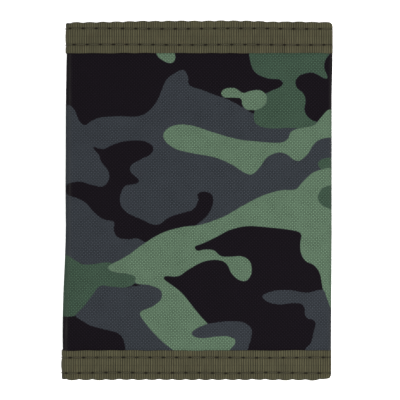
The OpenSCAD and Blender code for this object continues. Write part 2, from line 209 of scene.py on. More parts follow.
DARK_ROUND = [(77, 39.8), (78.6, 42), (82.5, 42.9), (85.4, 41.6), (87.1, 40.8), (87.8, 41.4),
    (86.7, 44.3), (87, 47), (88.8, 49.6), (90.5, 52.5), (95, 52), (98, 44), (97, 33), (92, 27.5),
    (85, 26.4), (81.6, 27.6), (80, 30.3), (80.4, 33.5), (79.6, 36), (77.7, 37.6)]
LEAF_LONG = [(32.8, 21), (34, 24), (38, 25.5), (43, 25), (49.7, 22.8), (57.5, 20.6), (64.5, 19.8),
    (71.5, 19.4), (74.4, 20.6), (75.3, 22.8), (77.5, 24), (83, 25.2), (85.6, 28), (88, 30.4),
    (90.5, 30), (95, 26.5), (97, 21), (93, 19.5), (89.4, 21), (86, 20.8), (83.4, 19.2), (81, 15.6),
    (78.4, 13.4), (76.3, 13.8), (74, 15.6), (71, 16.1), (67.6, 14.6), (65.3, 11.6), (62.6, 8.9),
    (59.8, 9.5), (55.3, 12.3), (49.7, 14.6), (42, 16), (36.4, 17.6)]
LEAF_PAIR = [(52.1, 36), (53.4, 37.5), (56.8, 37.7), (59.4, 36.1), (62, 36.8), (65.2, 37), (67.3, 35.2),
    (67, 32.4), (64.5, 30.6), (61, 30.4), (59.2, 32), (58.8, 34.1), (56.3, 34.5), (53.2, 34.6)]
LEAF_SMALL = [(29.5, 53), (30.6, 48.8), (32.8, 46.8), (35.4, 46), (36.8, 47.5), (36.4, 50), (35, 53)]
DARK_HAND = [(9.2, 18), (12.6, 17.3), (16, 18.8), (20.5, 20), (26.2, 20), (29.3, 18), (28.6, 15.6),
    (25, 13.7), (22, 11.8), (22, 9.4), (24.6, 7), (23.6, 5.7), (20.2, 5), (18.6, 2.5), (18.4, -0.9),
    (20.4, -3.8), (25, -6), (30.5, -8.1), (35, -5.4), (39.5, -4), (42.8, -2.8), (44.5, 0.2),
    (44.2, 2.2), (46.4, 3.1), (49, 2), (49.4, -0.9), (47.5, -4.9), (43, -8.6), (36, -12), (29, -14.5),
    (24.2, -12.6), (21.6, -12.9), (17.8, -12.4), (16.2, -10), (16.2, -7.1), (12.8, -6.2), (9.5, -3.8),
    (7, -0.8), (3.8, 0.9), (0.6, 1.9), (-1.5, 3.4), (0, 5.4), (4.8, 6.4), (8.8, 5.3), (12.6, 4.8),
    (14.6, 7.2), (14.2, 10.2), (12, 13), (11.2, 15.4)]
MOSS_LEFT = [(-6, -20), (0, -18.2), (4, -20.2), (7.2, -21.4), (15, -20.6), (20, -22), (24, -25),
    (24, -27.4), (20.6, -29), (16, -28.8), (12.4, -28.9), (9.6, -32.2), (6.7, -36.6), (3.8, -38.6),
    (0, -38.7), (-5, -38), (-8, -30)]
SLATE_LOW = [(12.2, -28.5), (16, -28.8), (20.5, -29.2), (25, -28.4), (29, -28), (33, -29.5), (37, -33),
    (36, -38), (35, -42), (38, -48), (42, -53), (34, -58), (22, -56), (21.2, -50), (20.6, -46.8),
    (18.8, -44.4), (14, -43), (9.4, -41.7), (6.5, -40), (4.4, -38.4), (7, -35.4), (9.4, -32.1)]
MOSS_DOT = [(84.5, 12.6), (86.2, 14), (90, 14.4), (95, 13), (95, 8), (88, 8.4), (85.4, 10.6)]
LEAF_MAIN = [(14.6, -22), (16.6, -23.8), (21, -24.4), (23.9, -25.5), (23.9, -27.6), (28.4, -28.2),
    (32.2, -29.8), (32.8, -32.6), (30.2, -35.2), (26.4, -36.9), (26, -38.6), (29.5, -43.2),
    (33.4, -47.2), (37.5, -50.5), (42, -56), (52, -56), (55.6, -50), (57.4, -48), (57.2, -46.2),
    (53, -44.6), (48.2, -41), (44.2, -36.6), (39.6, -31), (35.5, -27.8), (33.4, -26.2), (34, -25.2),
    (38, -25.3), (42, -22.7), (46.4, -20.4), (50.8, -19.8), (54, -21), (55.8, -24.3), (58.1, -26.4),
    (60.8, -26.8), (62.5, -24.2), (62, -20.5), (59.3, -18.6), (55.4, -18.7), (52.2, -18.5),
    (49.8, -16.6), (46.9, -16.3), (44.2, -16.7), (43.5, -15.3), (46.3, -14.2), (50.8, -12),
    (55.3, -9.7), (61, -8.5), (67.6, -8.9), (75.4, -9.8), (78.8, -11), (78.6, -14.3),
    (78.9, -17.6), (80.5, -20.2), (83.4, -21.7), (85.3, -24.6),
    (86.2, -29.2), (87.8, -32.7), (89.6, -36.6), (93, -39), (98, -30),
    (99, -10), (96, 8), (89.5, 10.9), (83.3, 9.6), (79.5, 6.4), (77, 3.8), (72.2, 3.5), (66.5, 1.9),
    (59.8, -1.4), (53, -5.3), (45.4, -8), (39.6, -8.7), (33, -10.5), (27.3, -13.7), (20.6, -18.6)]
MOSS_EDGE = [(84.6, 0.2), (85, 2.8), (86.8, 4.6), (90, 5), (95, 3), (95.5, -1), (91, -3), (86.8, -2)]
SLATE_TONGUE = [(43, -44.2), (45.2, -42.4), (48.6, -41.2), (54.2, -40.4), (59.8, -40.6), (62.7, -42.8),
    (62.7, -46), (61.6, -50), (62, -55), (56, -57), (53.5, -54), (55.6, -50), (57.4, -47.8),
    (57, -46), (55, -45.3), (50.8, -45.5), (47, -46), (44.2, -45.6)]
SLATE_RIGHT = [(66.2, -31.9), (69.8, -30.2), (75.4, -29.9), (81, -30.8), (86.2, -29.8), (87.9, -33.2),
    (90, -37), (95, -40), (97, -48), (92, -57), (84, -57), (80.6, -50.5), (82.5, -47.6), (83.4, -43.8),
    (84, -41), (83.2, -39.9), (81.4, -39.4), (80.4, -38), (80.3, -36), (79, -34.4), (75.4, -34.3),
    (72, -34.7), (68.2, -33.9)]

# In the order they are printed, later over earlier.
PRINT = [("slate", SLATE_WIDE), ("moss", MOSS_CORNER), ("dark", DARK_ROUND), ("leaf", LEAF_LONG),
    ("leaf", LEAF_PAIR), ("leaf", LEAF_SMALL), ("dark", DARK_HAND), ("moss", MOSS_LEFT),
    ("slate", SLATE_LOW), ("moss", MOSS_DOT), ("leaf", LEAF_MAIN), ("moss", MOSS_EDGE),
    ("slate", SLATE_TONGUE), ("slate", SLATE_RIGHT)]
INKS = ("moss", "leaf", "dark")
FAR = 6.0


def outline(points, steps=5):
    """A smooth closed line through the points of a printed shape."""
    p = np.array(points, float)
    before, after, beyond = np.roll(p, 1, 0), np.roll(p, -1, 0), np.roll(p, -2, 0)
    rows = []
    for s in np.arange(steps) / steps:
        rows.append(0.5 * (2 * p + (after - before) * s
            + (2 * before - 5 * p + 4 * after - beyond) * s ** 2
            + (3 * p - before - 3 * after + beyond) * s ** 3))
    return np.stack(rows, axis=1).reshape(-1, 2)


def distance_in(points, line):
    """How far each point is outside the closed line, negative inside, up to FAR."""
    found = np.full(len(points), FAR)
    low, high = line.min(0) - FAR, line.max(0) + FAR
    near = np.flatnonzero(((points > low) & (points < high)).all(1))
    p = points[near]
    a, b = line, np.roll(line, -1, 0)
    best, inside = np.full(len(p), FAR), np.zeros(len(p), bool)
    for (ax, ay), (bx, by) in zip(a, b):
        dx, dy = bx - ax, by - ay
        s = np.clip(((p[:, 0] - ax) * dx + (p[:, 1] - ay) * dy) / (dx * dx + dy * dy + 1e-12), 0, 1)
        best = np.minimum(best, np.hypot(p[:, 0] - ax - s * dx, p[:, 1] - ay - s * dy))
        crosses = (ay > p[:, 1]) != (by > p[:, 1])
        if abs(dy) > 1e-12:
            inside ^= crosses & (p[:, 0] < ax + (p[:, 1] - ay) * dx / dy)
    found[near] = np.where(inside, -best, best)
    return found


def printed(t, y):
    """For each ink but slate, how far a point of the cloth is from that ink, in millimetres."""
    across = (LENGTHS[0] - t) / MM
    spot = np.stack([across, y / MM], axis=1)
    field = {ink: np.full(len(t), FAR) for ink in INKS}
    field["slate"] = np.full(len(t), FAR)
    field["dark"] = np.full(len(t), -FAR)
    # The print repeats down the roll, turned and moved on, so every panel shows another part of it.
    repeats = [(-208, 1, 1), (-104, 1, -1), (0, 1, 1)]
    for move, turn_x, turn_y in repeats:
        for ink, points in PRINT:
            shape = outline(points) * (turn_x, turn_y) + (move, 0)
            d = distance_in(spot, shape)
            for other in field:
                if other == ink:
                    field[other] = np.minimum(field[other], d)
                else:
                    field[other] = np.maximum(field[other], -d)
    return np.stack([field[ink] for ink in INKS], axis=1)


# Materials

class Web:
    """A material's node tree, wired up by short calls."""

    def __init__(self, name):
        self.material = bpy.data.materials.new(name)
        self.material.use_nodes = True
        self.tree = self.material.node_tree
        self.tree.nodes.clear()
        self.shader = self.tree.nodes.new("ShaderNodeBsdfPrincipled")
        self.out = self.tree.nodes.new("ShaderNodeOutputMaterial")
        self.join(self.shader.outputs[0], self.out.inputs[0])

    def join(self, source, target):
        if hasattr(source, "is_output"):
            self.tree.links.new(source, target)
        elif hasattr(source, "__len__") and target.type == "RGBA":
            target.default_value = (*source[:3], 1)
        else:
            target.default_value = source

    def node(self, kind, **settings):
        made = self.tree.nodes.new("ShaderNode" + kind)
        for key, value in settings.items():
            setattr(made, key, value)
        return made

    def sum(self, operation, a, b=0.0, c=0.0):
        made = self.node("Math", operation=operation)
        for socket, value in zip(made.inputs, (a, b, c)):
            self.join(value, socket)
        return made.outputs[0]

    def mix(self, share, a, b, blend="MIX"):
        made = self.node("Mix", data_type="RGBA", blend_type=blend)
        self.join(share, made.inputs[0])
        self.join(a, made.inputs[6])
        self.join(b, made.inputs[7])
        return made.outputs[2]

    def remap(self, value, low, high, to_low=0.0, to_high=1.0, smooth=True):
        made = self.node("MapRange", interpolation_type="SMOOTHSTEP" if smooth else "LINEAR")
        for socket, v in zip(made.inputs, (value, low, high, to_low, to_high)):
            self.join(v, socket)
        return made.outputs[0]

    def read(self, name):
        made = self.node("Attribute", attribute_name=name)
        return made.outputs[1]

    def read_value(self, name):
        """A single number stored on the piece."""
        return self.node("Attribute", attribute_name=name).outputs[2]

    def parts(self, vector):
        made = self.node("SeparateXYZ")
        self.join(vector, made.inputs[0])
        return made.outputs

    def stretch(self, vector, scale):
        made = self.node("Mapping")
        self.join(vector, made.inputs[0])
        made.inputs[3].default_value = scale
        return made.outputs[0]

    def noise(self, vector, scale, detail=2.0, roughness=0.5):
        made = self.node("TexNoise")
        self.join(vector, made.inputs["Vector"])
        made.inputs["Scale"].default_value = scale
        made.inputs["Detail"].default_value = detail
        made.inputs["Roughness"].default_value = roughness
        return made.outputs[0]

    def bump(self, height, far, strength=1.0):
        made = self.node("Bump")
        self.join(height, made.inputs["Height"])
        made.inputs["Distance"].default_value = far
        made.inputs["Strength"].default_value = strength
        self.join(made.outputs[0], self.shader.inputs["Normal"])

    def finish(self, **sockets):
        for name, value in sockets.items():
            self.join(value, self.shader.inputs[name.replace("_", " ")])
        return self.material


def weave(web, lay, pitch, slub):
    """The over-and-under of a plain weave: its height, and whether the upright yarn is on top."""
    x, y, _ = web.parts(lay)
    wander = web.sum("MULTIPLY", web.sum("SUBTRACT", web.noise(lay, 0.45), 0.5), slub)
    u = web.sum("MULTIPLY", web.sum("ADD", x, wander), math.pi / pitch)
    v = web.sum("MULTIPLY", web.sum("ADD", y, wander), math.pi / pitch)
    cross = web.sum("MULTIPLY", web.sum("SINE", u), web.sum("SINE", v))
    dome = web.sum("POWER", web.sum("ABSOLUTE", cross), 0.55)
    upright = web.remap(cross, -0.12, 0.12)
    return dome, upright, cross


def camouflage_cloth(colours):
    web = Web("camouflage_cloth")
    lay = web.read("lay")
    dome, upright, cross = weave(web, lay, 0.575, 0.5)
    ragged = web.sum("MULTIPLY", web.sum("SUBTRACT", web.noise(lay, 1.6, 3), 0.5), 0.35)
    ragged = web.sum("ADD", ragged, web.sum("MULTIPLY", cross, 0.05))
    moss, leaf, dark = web.parts(web.read("print"))
    ink = web.mix(0.0, colours["slate"], colours["slate"])
    for distance, name in ((moss, "moss"), (leaf, "leaf"), (dark, "dark")):
        share = web.remap(web.sum("ADD", distance, ragged), 0.14, -0.14)
        ink = web.mix(share, ink, colours[name])
    # Yarn that lies across takes less ink and catches less light than yarn that lies upright: this light, and
    # the shade between the yarns, are painted into the colour.
    contrast = web.remap(web.noise(lay, 0.42, 3, 0.6), 0.36, 0.64, 0.45, 1.25)
    relief = web.sum("MULTIPLY_ADD", web.sum("SUBTRACT", dome, 0.62), 0.80,
        web.sum("MULTIPLY", web.sum("SUBTRACT", upright, 0.5), 0.42))
    shade = web.sum("MULTIPLY_ADD", relief, contrast, 0.95)
    mottle = web.sum("MULTIPLY_ADD", web.noise(lay, 0.12, 4, 0.6), 0.34, 0.83)
    shade = web.sum("MULTIPLY", shade, mottle)
    speck = web.sum("MULTIPLY_ADD", web.noise(lay, 2.4, 2), 0.36, 0.82)
    shade = web.sum("MULTIPLY", shade, speck)
    colour = web.mix(1.0, ink, shade, "MULTIPLY")
    # Painted sheen: a little light colour is added on the crowns of the upright yarns, where they stand
    # highest.
    painted_sheen = web.sum("MULTIPLY", web.sum("MULTIPLY", dome, upright), speck)
    colour = web.mix(painted_sheen, colour, colours["painted_sheen"], "ADD")
    worn = web.sum("MULTIPLY", web.read_value("wear"), web.remap(dome, 0.2, 0.9, 0.35, 1.0))
    colour = web.mix(worn, colour, colours["wear"])
    fuzz = web.noise(web.stretch(lay, (1.0, 5.0, 1.0)), 2.2, 2)
    height = web.sum("ADD", dome, web.sum("MULTIPLY", fuzz, 0.25))
    web.bump(height, 0.16 * MM, 0.75)
    rough = web.sum("MULTIPLY_ADD", dome, -0.12, 0.86)
    return web.finish(Base_Color=colour, Roughness=rough, Specular_IOR_Level=0.04,
        Sheen_Weight=0.006, Sheen_Roughness=0.5)


def cloth(name, base, pitch, rough, specular, depth_mm=0.06, ripstop=False):
    web = Web(name)
    lay = web.read("lay")
    dome, upright, _ = weave(web, lay, pitch, 0.15)
    x, y, _ = web.parts(lay)
    shade = web.sum("MULTIPLY_ADD", dome, 0.5, 0.55)
    shade = web.sum("MULTIPLY_ADD", upright, 0.18, shade)
    shade = web.sum("MULTIPLY", shade, web.sum("MULTIPLY_ADD", web.noise(lay, 0.1, 4, 0.6), 0.5, 0.75))
    height = dome
    if ripstop:
        for run in (x, y):
            across = web.sum("PINGPONG", run, 2.6)
            rib = web.remap(across, 0.0, 0.3, 1.0, 0.0)
            height = web.sum("ADD", height, rib)
            shade = web.sum("MULTIPLY_ADD", rib, 0.3, shade)
    colour = web.mix(1.0, base, shade, "MULTIPLY")
    web.bump(height, depth_mm * MM, 0.7)
    return web.finish(Base_Color=colour, Roughness=web.sum("MULTIPLY_ADD", dome, -0.15, rough),
        Specular_IOR_Level=specular, Sheen_Weight=0.015, Sheen_Roughness=0.4)


def coating(name, base):
    """The rubbery back of the outer cloth, with the weave just showing through."""
    web = Web(name)
    lay = web.read("lay")
    dome, _, _ = weave(web, lay, 0.575, 0.5)
    patch = web.noise(lay, 0.3, 4, 0.65)
    colour = web.mix(1.0, base, web.sum("MULTIPLY_ADD", patch, 0.6, 0.7), "MULTIPLY")
    web.bump(web.sum("ADD", dome, patch), 0.05 * MM, 0.5)
    return web.finish(Base_Color=colour, Roughness=web.sum("MULTIPLY_ADD", patch, 0.2, 0.42),
        Specular_IOR_Level=0.16)


def grosgrain(name, base, dark):
    """Ribbed binding tape: ribs run across it, and its yarns cross them finely."""
    web = Web(name)
    lay = web.read("lay")
    x, y, _ = web.parts(lay)
    drift = web.sum("MULTIPLY", web.sum("SUBTRACT", web.noise(lay, 0.25), 0.5), 0.25)
    along = web.sum("ADD", x, drift)
    rib = web.sum("ABSOLUTE", web.sum("SINE", web.sum("MULTIPLY", along, math.pi / (RIB / MM))))
    yarn = web.sum("ABSOLUTE", web.sum("SINE", web.sum("MULTIPLY", y, math.pi / 0.34)))
    streak = web.noise(web.stretch(lay, (1.0, 0.07, 0.3)), 1.3, 3, 0.6)
    broad = web.noise(lay, 0.16, 3)
    speck = web.noise(lay, 3.0, 2)
    strength = web.remap(web.noise(web.stretch(lay, (1.0, 0.35, 0.35)), 0.22, 3, 0.6), 0.35, 0.65, 0.55, 1.25)
    shade = web.sum("MULTIPLY_ADD", web.sum("SUBTRACT", rib, 0.64), strength, 0.84)
    shade = web.sum("MULTIPLY_ADD", yarn, 0.12, shade)
    shade = web.sum("MULTIPLY", shade, web.sum("MULTIPLY_ADD", streak, 0.95, 0.52))
    shade = web.sum("MULTIPLY", shade, web.sum("MULTIPLY_ADD", broad, 0.6, 0.72))
    shade = web.sum("MULTIPLY", shade, web.sum("MULTIPLY_ADD", speck, 0.5, 0.76))
    colour = web.mix(1.0, base, shade, "MULTIPLY")
    # Some rib valleys show a little brown.
    rust = web.remap(web.noise(lay, 0.35, 3, 0.6), 0.54, 0.72, 0.0, 0.30)
    colour = web.mix(rust, colour, (base[0] * 0.95, base[1] * 0.78, base[2] * 0.75))
    # Painted shadow: the needle holes and the sunk row along each seam are darkened with the dark hole
    # colour.
    off, place, _ = web.parts(web.read("seam"))
    near = web.sum("PINGPONG", place, STITCH / MM / 2)
    off = web.sum("ABSOLUTE", off)
    ragged = web.sum("MULTIPLY", web.sum("SUBTRACT", web.noise(lay, 2.0, 2), 0.5), 0.5)
    spread = web.sum("ADD", web.sum("POWER", web.sum("MULTIPLY", off, 2.6), 2.0),
        web.sum("POWER", web.sum("MULTIPLY", near, 1.35), 2.0))
    hole = web.remap(web.sum("ADD", web.sum("SQRT", spread), ragged), 1.25, 0.55, 0.0, 0.96)
    groove_shadow = web.remap(off, 0.42, 0.12, 0.0, 0.62)
    colour = web.mix(web.sum("MAXIMUM", hole, groove_shadow), colour, dark)
    height = web.sum("MULTIPLY_ADD", yarn, 0.35, rib)
    height = web.sum("MULTIPLY_ADD", speck, 0.3, height)
    web.bump(height, 0.14 * MM, 0.8)
    return web.finish(Base_Color=colour, Roughness=web.sum("MULTIPLY_ADD", streak, 0.16, 0.72),
        Specular_IOR_Level=0.08, Sheen_Weight=0.01, Sheen_Roughness=0.45)


def twisted_thread(name, base):
    web = Web(name)
    lay = web.read("lay")
    x, y, _ = web.parts(lay)
    twist = web.sum("SINE", web.sum("MULTIPLY", web.sum("ADD", x, web.sum("MULTIPLY", y, 1.6)), 11.0))
    fibre = web.noise(web.stretch(lay, (2.0, 9.0, 9.0)), 3.0, 2)
    shade = web.sum("MULTIPLY_ADD", twist, 0.22, 0.80)
    shade = web.sum("MULTIPLY_ADD", fibre, 0.45, web.sum("SUBTRACT", shade, 0.1))
    colour = web.mix(1.0, base, shade, "MULTIPLY")
    web.bump(web.sum("ADD", twist, fibre), 0.05 * MM, 0.7)
    return web.finish(Base_Color=colour, Roughness=web.sum("MULTIPLY_ADD", fibre, 0.2, 0.55),
        Specular_IOR_Level=0.12, Sheen_Weight=0.01)


def clear_film(name):
    web = Web(name)
    lay = web.read("lay")
    ripple = web.noise(lay, 0.09, 3, 0.6)
    scuff = web.noise(web.stretch(lay, (0.4, 3.0, 1.0)), 0.8, 5, 0.7)
    web.bump(web.sum("MULTIPLY_ADD", scuff, 0.06, ripple), 1.2 * MM, 0.35)
    return web.finish(Base_Color=(0.085, 0.090, 0.093), Roughness=web.remap(scuff, 0.4, 0.8, 0.08, 0.32),
        Alpha=0.24, Specular_IOR_Level=0.5)


def moulded(name, base, rough, grain):
    web = Web(name)
    lay = web.read("lay")
    patch = web.noise(lay, grain, 3, 0.6)
    colour = web.mix(1.0, base, web.sum("MULTIPLY_ADD", patch, 0.8, 0.6), "MULTIPLY")
    web.bump(patch, 0.04 * MM, 0.6)
    return web.finish(Base_Color=colour, Roughness=web.sum("MULTIPLY_ADD", patch, 0.25, rough - 0.1),
        Specular_IOR_Level=0.22)


def looped_pile(name, base):
    web = Web(name)
    lay = web.read("lay")
    curl = web.noise(lay, 1.7, 4, 0.75)
    tuft = web.noise(lay, 0.5, 2)
    shade = web.sum("MULTIPLY_ADD", curl, 1.5, web.sum("MULTIPLY", tuft, 0.5))
    colour = web.mix(1.0, base, shade, "MULTIPLY")
    web.bump(curl, 0.35 * MM, 0.9)
    return web.finish(Base_Color=colour, Roughness=web.sum("MULTIPLY_ADD", curl, 0.1, 0.85),
        Specular_IOR_Level=0.08, Sheen_Weight=0.06, Sheen_Roughness=0.4)


def zip_weave(name, base):
    """Herringbone, as zip tapes are woven."""
    web = Web(name)
    lay = web.read("lay")
    x, y, _ = web.parts(lay)
    zigzag = web.sum("PINGPONG", y, 1.1)
    bone = web.sum("SINE", web.sum("MULTIPLY", web.sum("ADD", x, zigzag), 13.0))
    fibre = web.noise(lay, 3.0, 2)
    shade = web.sum("MULTIPLY_ADD", bone, 0.22, web.sum("MULTIPLY_ADD", fibre, 0.5, 0.6))
    colour = web.mix(1.0, base, shade, "MULTIPLY")
    web.bump(web.sum("MULTIPLY_ADD", fibre, 0.5, bone), 0.05 * MM, 0.7)
    return web.finish(Base_Color=colour, Roughness=web.sum("MULTIPLY_ADD", fibre, 0.2, 0.7),
        Specular_IOR_Level=0.10, Sheen_Weight=0.015)


def aged_brass(name, base, dark):
    web = Web(name)
    lay = web.read("lay")
    patch = web.noise(lay, 0.7, 5, 0.65)
    fine = web.noise(web.stretch(lay, (6.0, 1.0, 1.0)), 2.0, 3)
    colour = web.mix(web.remap(patch, 0.42, 0.66), base, dark)
    web.bump(web.sum("MULTIPLY_ADD", fine, 0.5, patch), 0.03 * MM, 0.5)
    return web.finish(Base_Color=colour, Metallic=1.0,
        Roughness=web.sum("MULTIPLY_ADD", patch, 0.35, 0.24))


def plain_floor(name, base):
    web = Web(name)
    place = web.node("TexCoord").outputs["Object"]
    grain = web.noise(place, 900.0, 2)
    colour = web.mix(1.0, base, web.sum("MULTIPLY_ADD", grain, 0.02, 0.99), "MULTIPLY")
    return web.finish(Base_Color=colour, Roughness=0.9, Specular_IOR_Level=0.1)


MATERIALS = {}


def stock():
    """Every finish, made once."""
    if MATERIALS:
        return MATERIALS
    look = bpy.context.scene.wallet_colours
    inks = {k: tuple(getattr(look, k)) for k in ("slate", "moss", "leaf", "dark", "wear", "painted_sheen")}
    MATERIALS["camouflage"] = camouflage_cloth(inks)
    MATERIALS["coating"] = coating("coated_back", (0.0065, 0.0065, 0.0070))
    MATERIALS["lining"] = cloth("lining_nylon", (0.0062, 0.0062, 0.0066), 0.34, 0.76, 0.10)
    MATERIALS["pocket"] = cloth("pocket_nylon", (0.0078, 0.0082, 0.0078), 0.40, 0.74, 0.10, ripstop=True)
    MATERIALS["tape"] = grosgrain("binding_tape", tuple(look.tape), tuple(look.hole))
    MATERIALS["thread"] = twisted_thread("sewing_thread", tuple(look.thread))
    MATERIALS["film"] = clear_film("clear_film")
    MATERIALS["hook"] = moulded("hook_nylon", (0.0065, 0.0065, 0.0065), 0.5, 0.8)
    MATERIALS["loop"] = looped_pile("loop_pile", (0.0060, 0.0060, 0.0060))
    MATERIALS["zip_tape"] = zip_weave("zip_tape", (0.0080, 0.0080, 0.0080))
    MATERIALS["zip_coil"] = moulded("zip_coil", (0.010, 0.010, 0.010), 0.4, 1.2)
    MATERIALS["metal"] = aged_brass("aged_brass", (0.20, 0.148, 0.072), (0.055, 0.038, 0.018))
    return MATERIALS


# Making a piece

def seal(bm, name, finishes, nodes, stretch=None, body=None, pattern=False, smooth=True, relief=None):
    """Turns a flat mesh into a finished piece: marks where each point lies on the strip, then folds it up."""
    bm.normal_update()
    mesh = bpy.data.meshes.new(name)
    bm.to_mesh(mesh)
    bm.free()
    count = len(mesh.vertices)
    flat = np.zeros(count * 3)
    mesh.vertices.foreach_get("co", flat)
    flat = flat.reshape(-1, 3)
    lay = mesh.attributes.new("lay", "FLOAT_VECTOR", "POINT")
    lay.data.foreach_set("vector", (flat / MM).astype(np.float32).ravel())
    if pattern:
        fields = mesh.attributes.new("print", "FLOAT_VECTOR", "POINT")
        shown = flat[:, 2] < SHELL_IN - 0.1 * MM
        inks = np.full((count, 3), FAR)
        inks[shown] = printed(flat[shown, 0], flat[shown, 1])
        fields.data.foreach_set("vector", inks.astype(np.float32).ravel())
        wear = mesh.attributes.new("wear", "FLOAT", "POINT")
        wear.data.foreach_set("value", edge_wear(flat).astype(np.float32))
    if relief is not None:
        flat, seam = relief(flat)
        if seam is not None:
            sewn = mesh.attributes.new("seam", "FLOAT_VECTOR", "POINT")
            sewn.data.foreach_set("vector", (seam / MM).astype(np.float32).ravel())
    mesh.vertices.foreach_set("co", fold_up(flat).ravel())
    mesh.update()
    for key in finishes:
        mesh.materials.append(stock()[key])
    mesh.shade_smooth() if smooth else mesh.shade_flat()
    piece = bpy.data.objects.new(name, mesh)
    bpy.context.scene.collection.objects.link(piece)
    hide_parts(*nodes)
    if stretch is None:
        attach(piece, body)
    else:
        _, _, _, first, second, corner = stretch
        place = float(CORNERS[corner])
        on_strip(place - RADIUS)
        on_strip(place + RADIUS)
        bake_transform(piece)
    return piece


def edge_wear(flat):
    """Wear on the folds and on the free edges of the cloth."""
    t = flat[:, 0]
    bare = np.zeros(len(t))
    for place in (CORNERS[0] - 0.7 * RADIUS, CORNERS[1] + 0.7 * RADIUS, CORNERS[2] - 0.7 * RADIUS,
            CORNERS[3] + 0.7 * RADIUS):
        bare = np.maximum(bare, 0.30 * np.exp(-((t - place) / (0.55 * MM)) ** 2))
    for place in (0.3 * MM, STRIP_END - 0.3 * MM):
        bare = np.maximum(bare, 0.40 * np.exp(-((t - place) / (0.55 * MM)) ** 2))
    return bare * (0.75 + 0.25 * waves(t, flat[:, 1], 5, 6 * MM))


def sheet_of(first, last, low, high, step, outside, inside):
    """A flat sheet of small squares with its thickness, from depth outside to depth inside."""
    bm = bmesh.new()
    nx = max(2, round((last - first) / step))
    ny = max(2, round((high - low) / step))
    bmesh.ops.create_grid(bm, x_segments=nx, y_segments=ny, size=0.5)
    bmesh.ops.scale(bm, vec=(last - first, high - low, 1), verts=bm.verts)
    bmesh.ops.translate(bm, vec=((first + last) / 2, (low + high) / 2, 0), verts=bm.verts)
    return thicken(bm, outside, inside)


def thicken(bm, outside, inside):
    """Gives a flat mesh its thickness, from depth outside to depth inside."""
    bmesh.ops.solidify(bm, geom=list(bm.faces), thickness=inside - outside)
    lowest = min(v.co.z for v in bm.verts)
    bmesh.ops.translate(bm, vec=(0, 0, outside - lowest), verts=bm.verts)
    bmesh.ops.recalc_face_normals(bm, faces=bm.faces)
    return bm


def run_out(bm, profile, start, way, count):
    """A closed outline of (across, depth) points drawn out in one direction, with closed ends."""
    along = Vector(way).normalized()
    across = Vector((abs(along.y), abs(along.x), 0))
    verts = [bm.verts.new(Vector(start) + across * a + Vector((0, 0, w))) for a, w in profile]
    for a, b in zip(verts, verts[1:] + verts[:1]):
        bm.edges.new((a, b))
    bm.faces.new(verts)
    grown = bmesh.ops.extrude_face_region(bm, geom=list(bm.faces))
    far = [g for g in grown["geom"] if isinstance(g, bmesh.types.BMVert)]
    bmesh.ops.translate(bm, vec=way, verts=far)
    if count > 1:
        long_edges = [e for e in bm.edges if abs((e.verts[1].co - e.verts[0].co).dot(along)) > 1e-6]
        bmesh.ops.subdivide_edges(bm, edges=long_edges, cuts=count - 1, use_grid_fill=True)
    bmesh.ops.recalc_face_normals(bm, faces=bm.faces)


def template(bm):
    """A small finished shape as a mesh, to be set down many times."""
    bmesh.ops.recalc_face_normals(bm, faces=bm.faces)
    mesh = bpy.data.meshes.new("template")
    bm.to_mesh(mesh)
    bm.free()
    return mesh


def set_down(bm, mesh, places):
    """Sets a copy of a small shape down at each place."""
    for place in places:
        copy = mesh.copy()
        copy.transform(place)
        bm.from_mesh(copy)
        bpy.data.meshes.remove(copy)


def one_stitch(half, wide, high):
    """A plump dash of thread lying along the strip."""
    bm = bmesh.new()
    bmesh.ops.create_uvsphere(bm, u_segments=8, v_segments=8, radius=1.0)
    bmesh.ops.rotate(bm, cent=(0, 0, 0), matrix=Matrix.Rotation(math.radians(90), 3, "Y"), verts=bm.verts)
    bmesh.ops.scale(bm, vec=(half, wide, high), verts=bm.verts)
    return template(bm)


def bound_profile(edge, fold, outside, inside, thickness, rows=()):
    """The outline of a tape folded over an edge, as (height, depth) points, finest along its seams."""
    side = 1 if fold > edge else -1
    reach = abs(fold - edge)
    bend = min(0.65 * MM, (inside - outside) / 2)
    soft = 0.12 * MM
    run = list(np.linspace(soft, reach - bend, round(reach / (0.62 * MM)) + 1))
    for row in rows:
        run = [u for u in run if abs(u - abs(row - edge)) > 0.95 * MM]
        run += list(abs(row - edge) + np.linspace(-0.8, 0.8, 9) * MM)
    run = sorted(u for u in run if soft <= u <= reach - bend + 1e-9)
    turn = [math.pi / 2 * k / 5 for k in range(1, 5)]
    points = [(0.0, outside + thickness - soft), (0.0, outside + soft), (0.03 * MM, outside + 0.04 * MM)]
    points += [(u, outside) for u in run]
    points += [(reach - bend + bend * math.sin(a), outside + bend - bend * math.cos(a)) for a in turn]
    points += [(reach, outside + bend), (reach, inside - bend)] if inside - outside > 2.1 * bend else [
        (reach, (inside + outside) / 2)]
    points += [(reach - bend + bend * math.cos(a), inside - bend + bend * math.sin(a)) for a in turn]
    points += [(u, inside) for u in reversed(run)]
    points += [(0.03 * MM, inside - 0.04 * MM), (0.0, inside - soft), (0.0, inside - thickness + soft)]
    points += [(reach * 0.5, inside - thickness), (reach - thickness, inside - thickness)]
    points += [(reach - thickness, outside + thickness), (reach * 0.5, outside + thickness)]
    outline_points = [(edge + side * u, w) for u, w in points]
    return outline_points if side > 0 else outline_points[::-1]


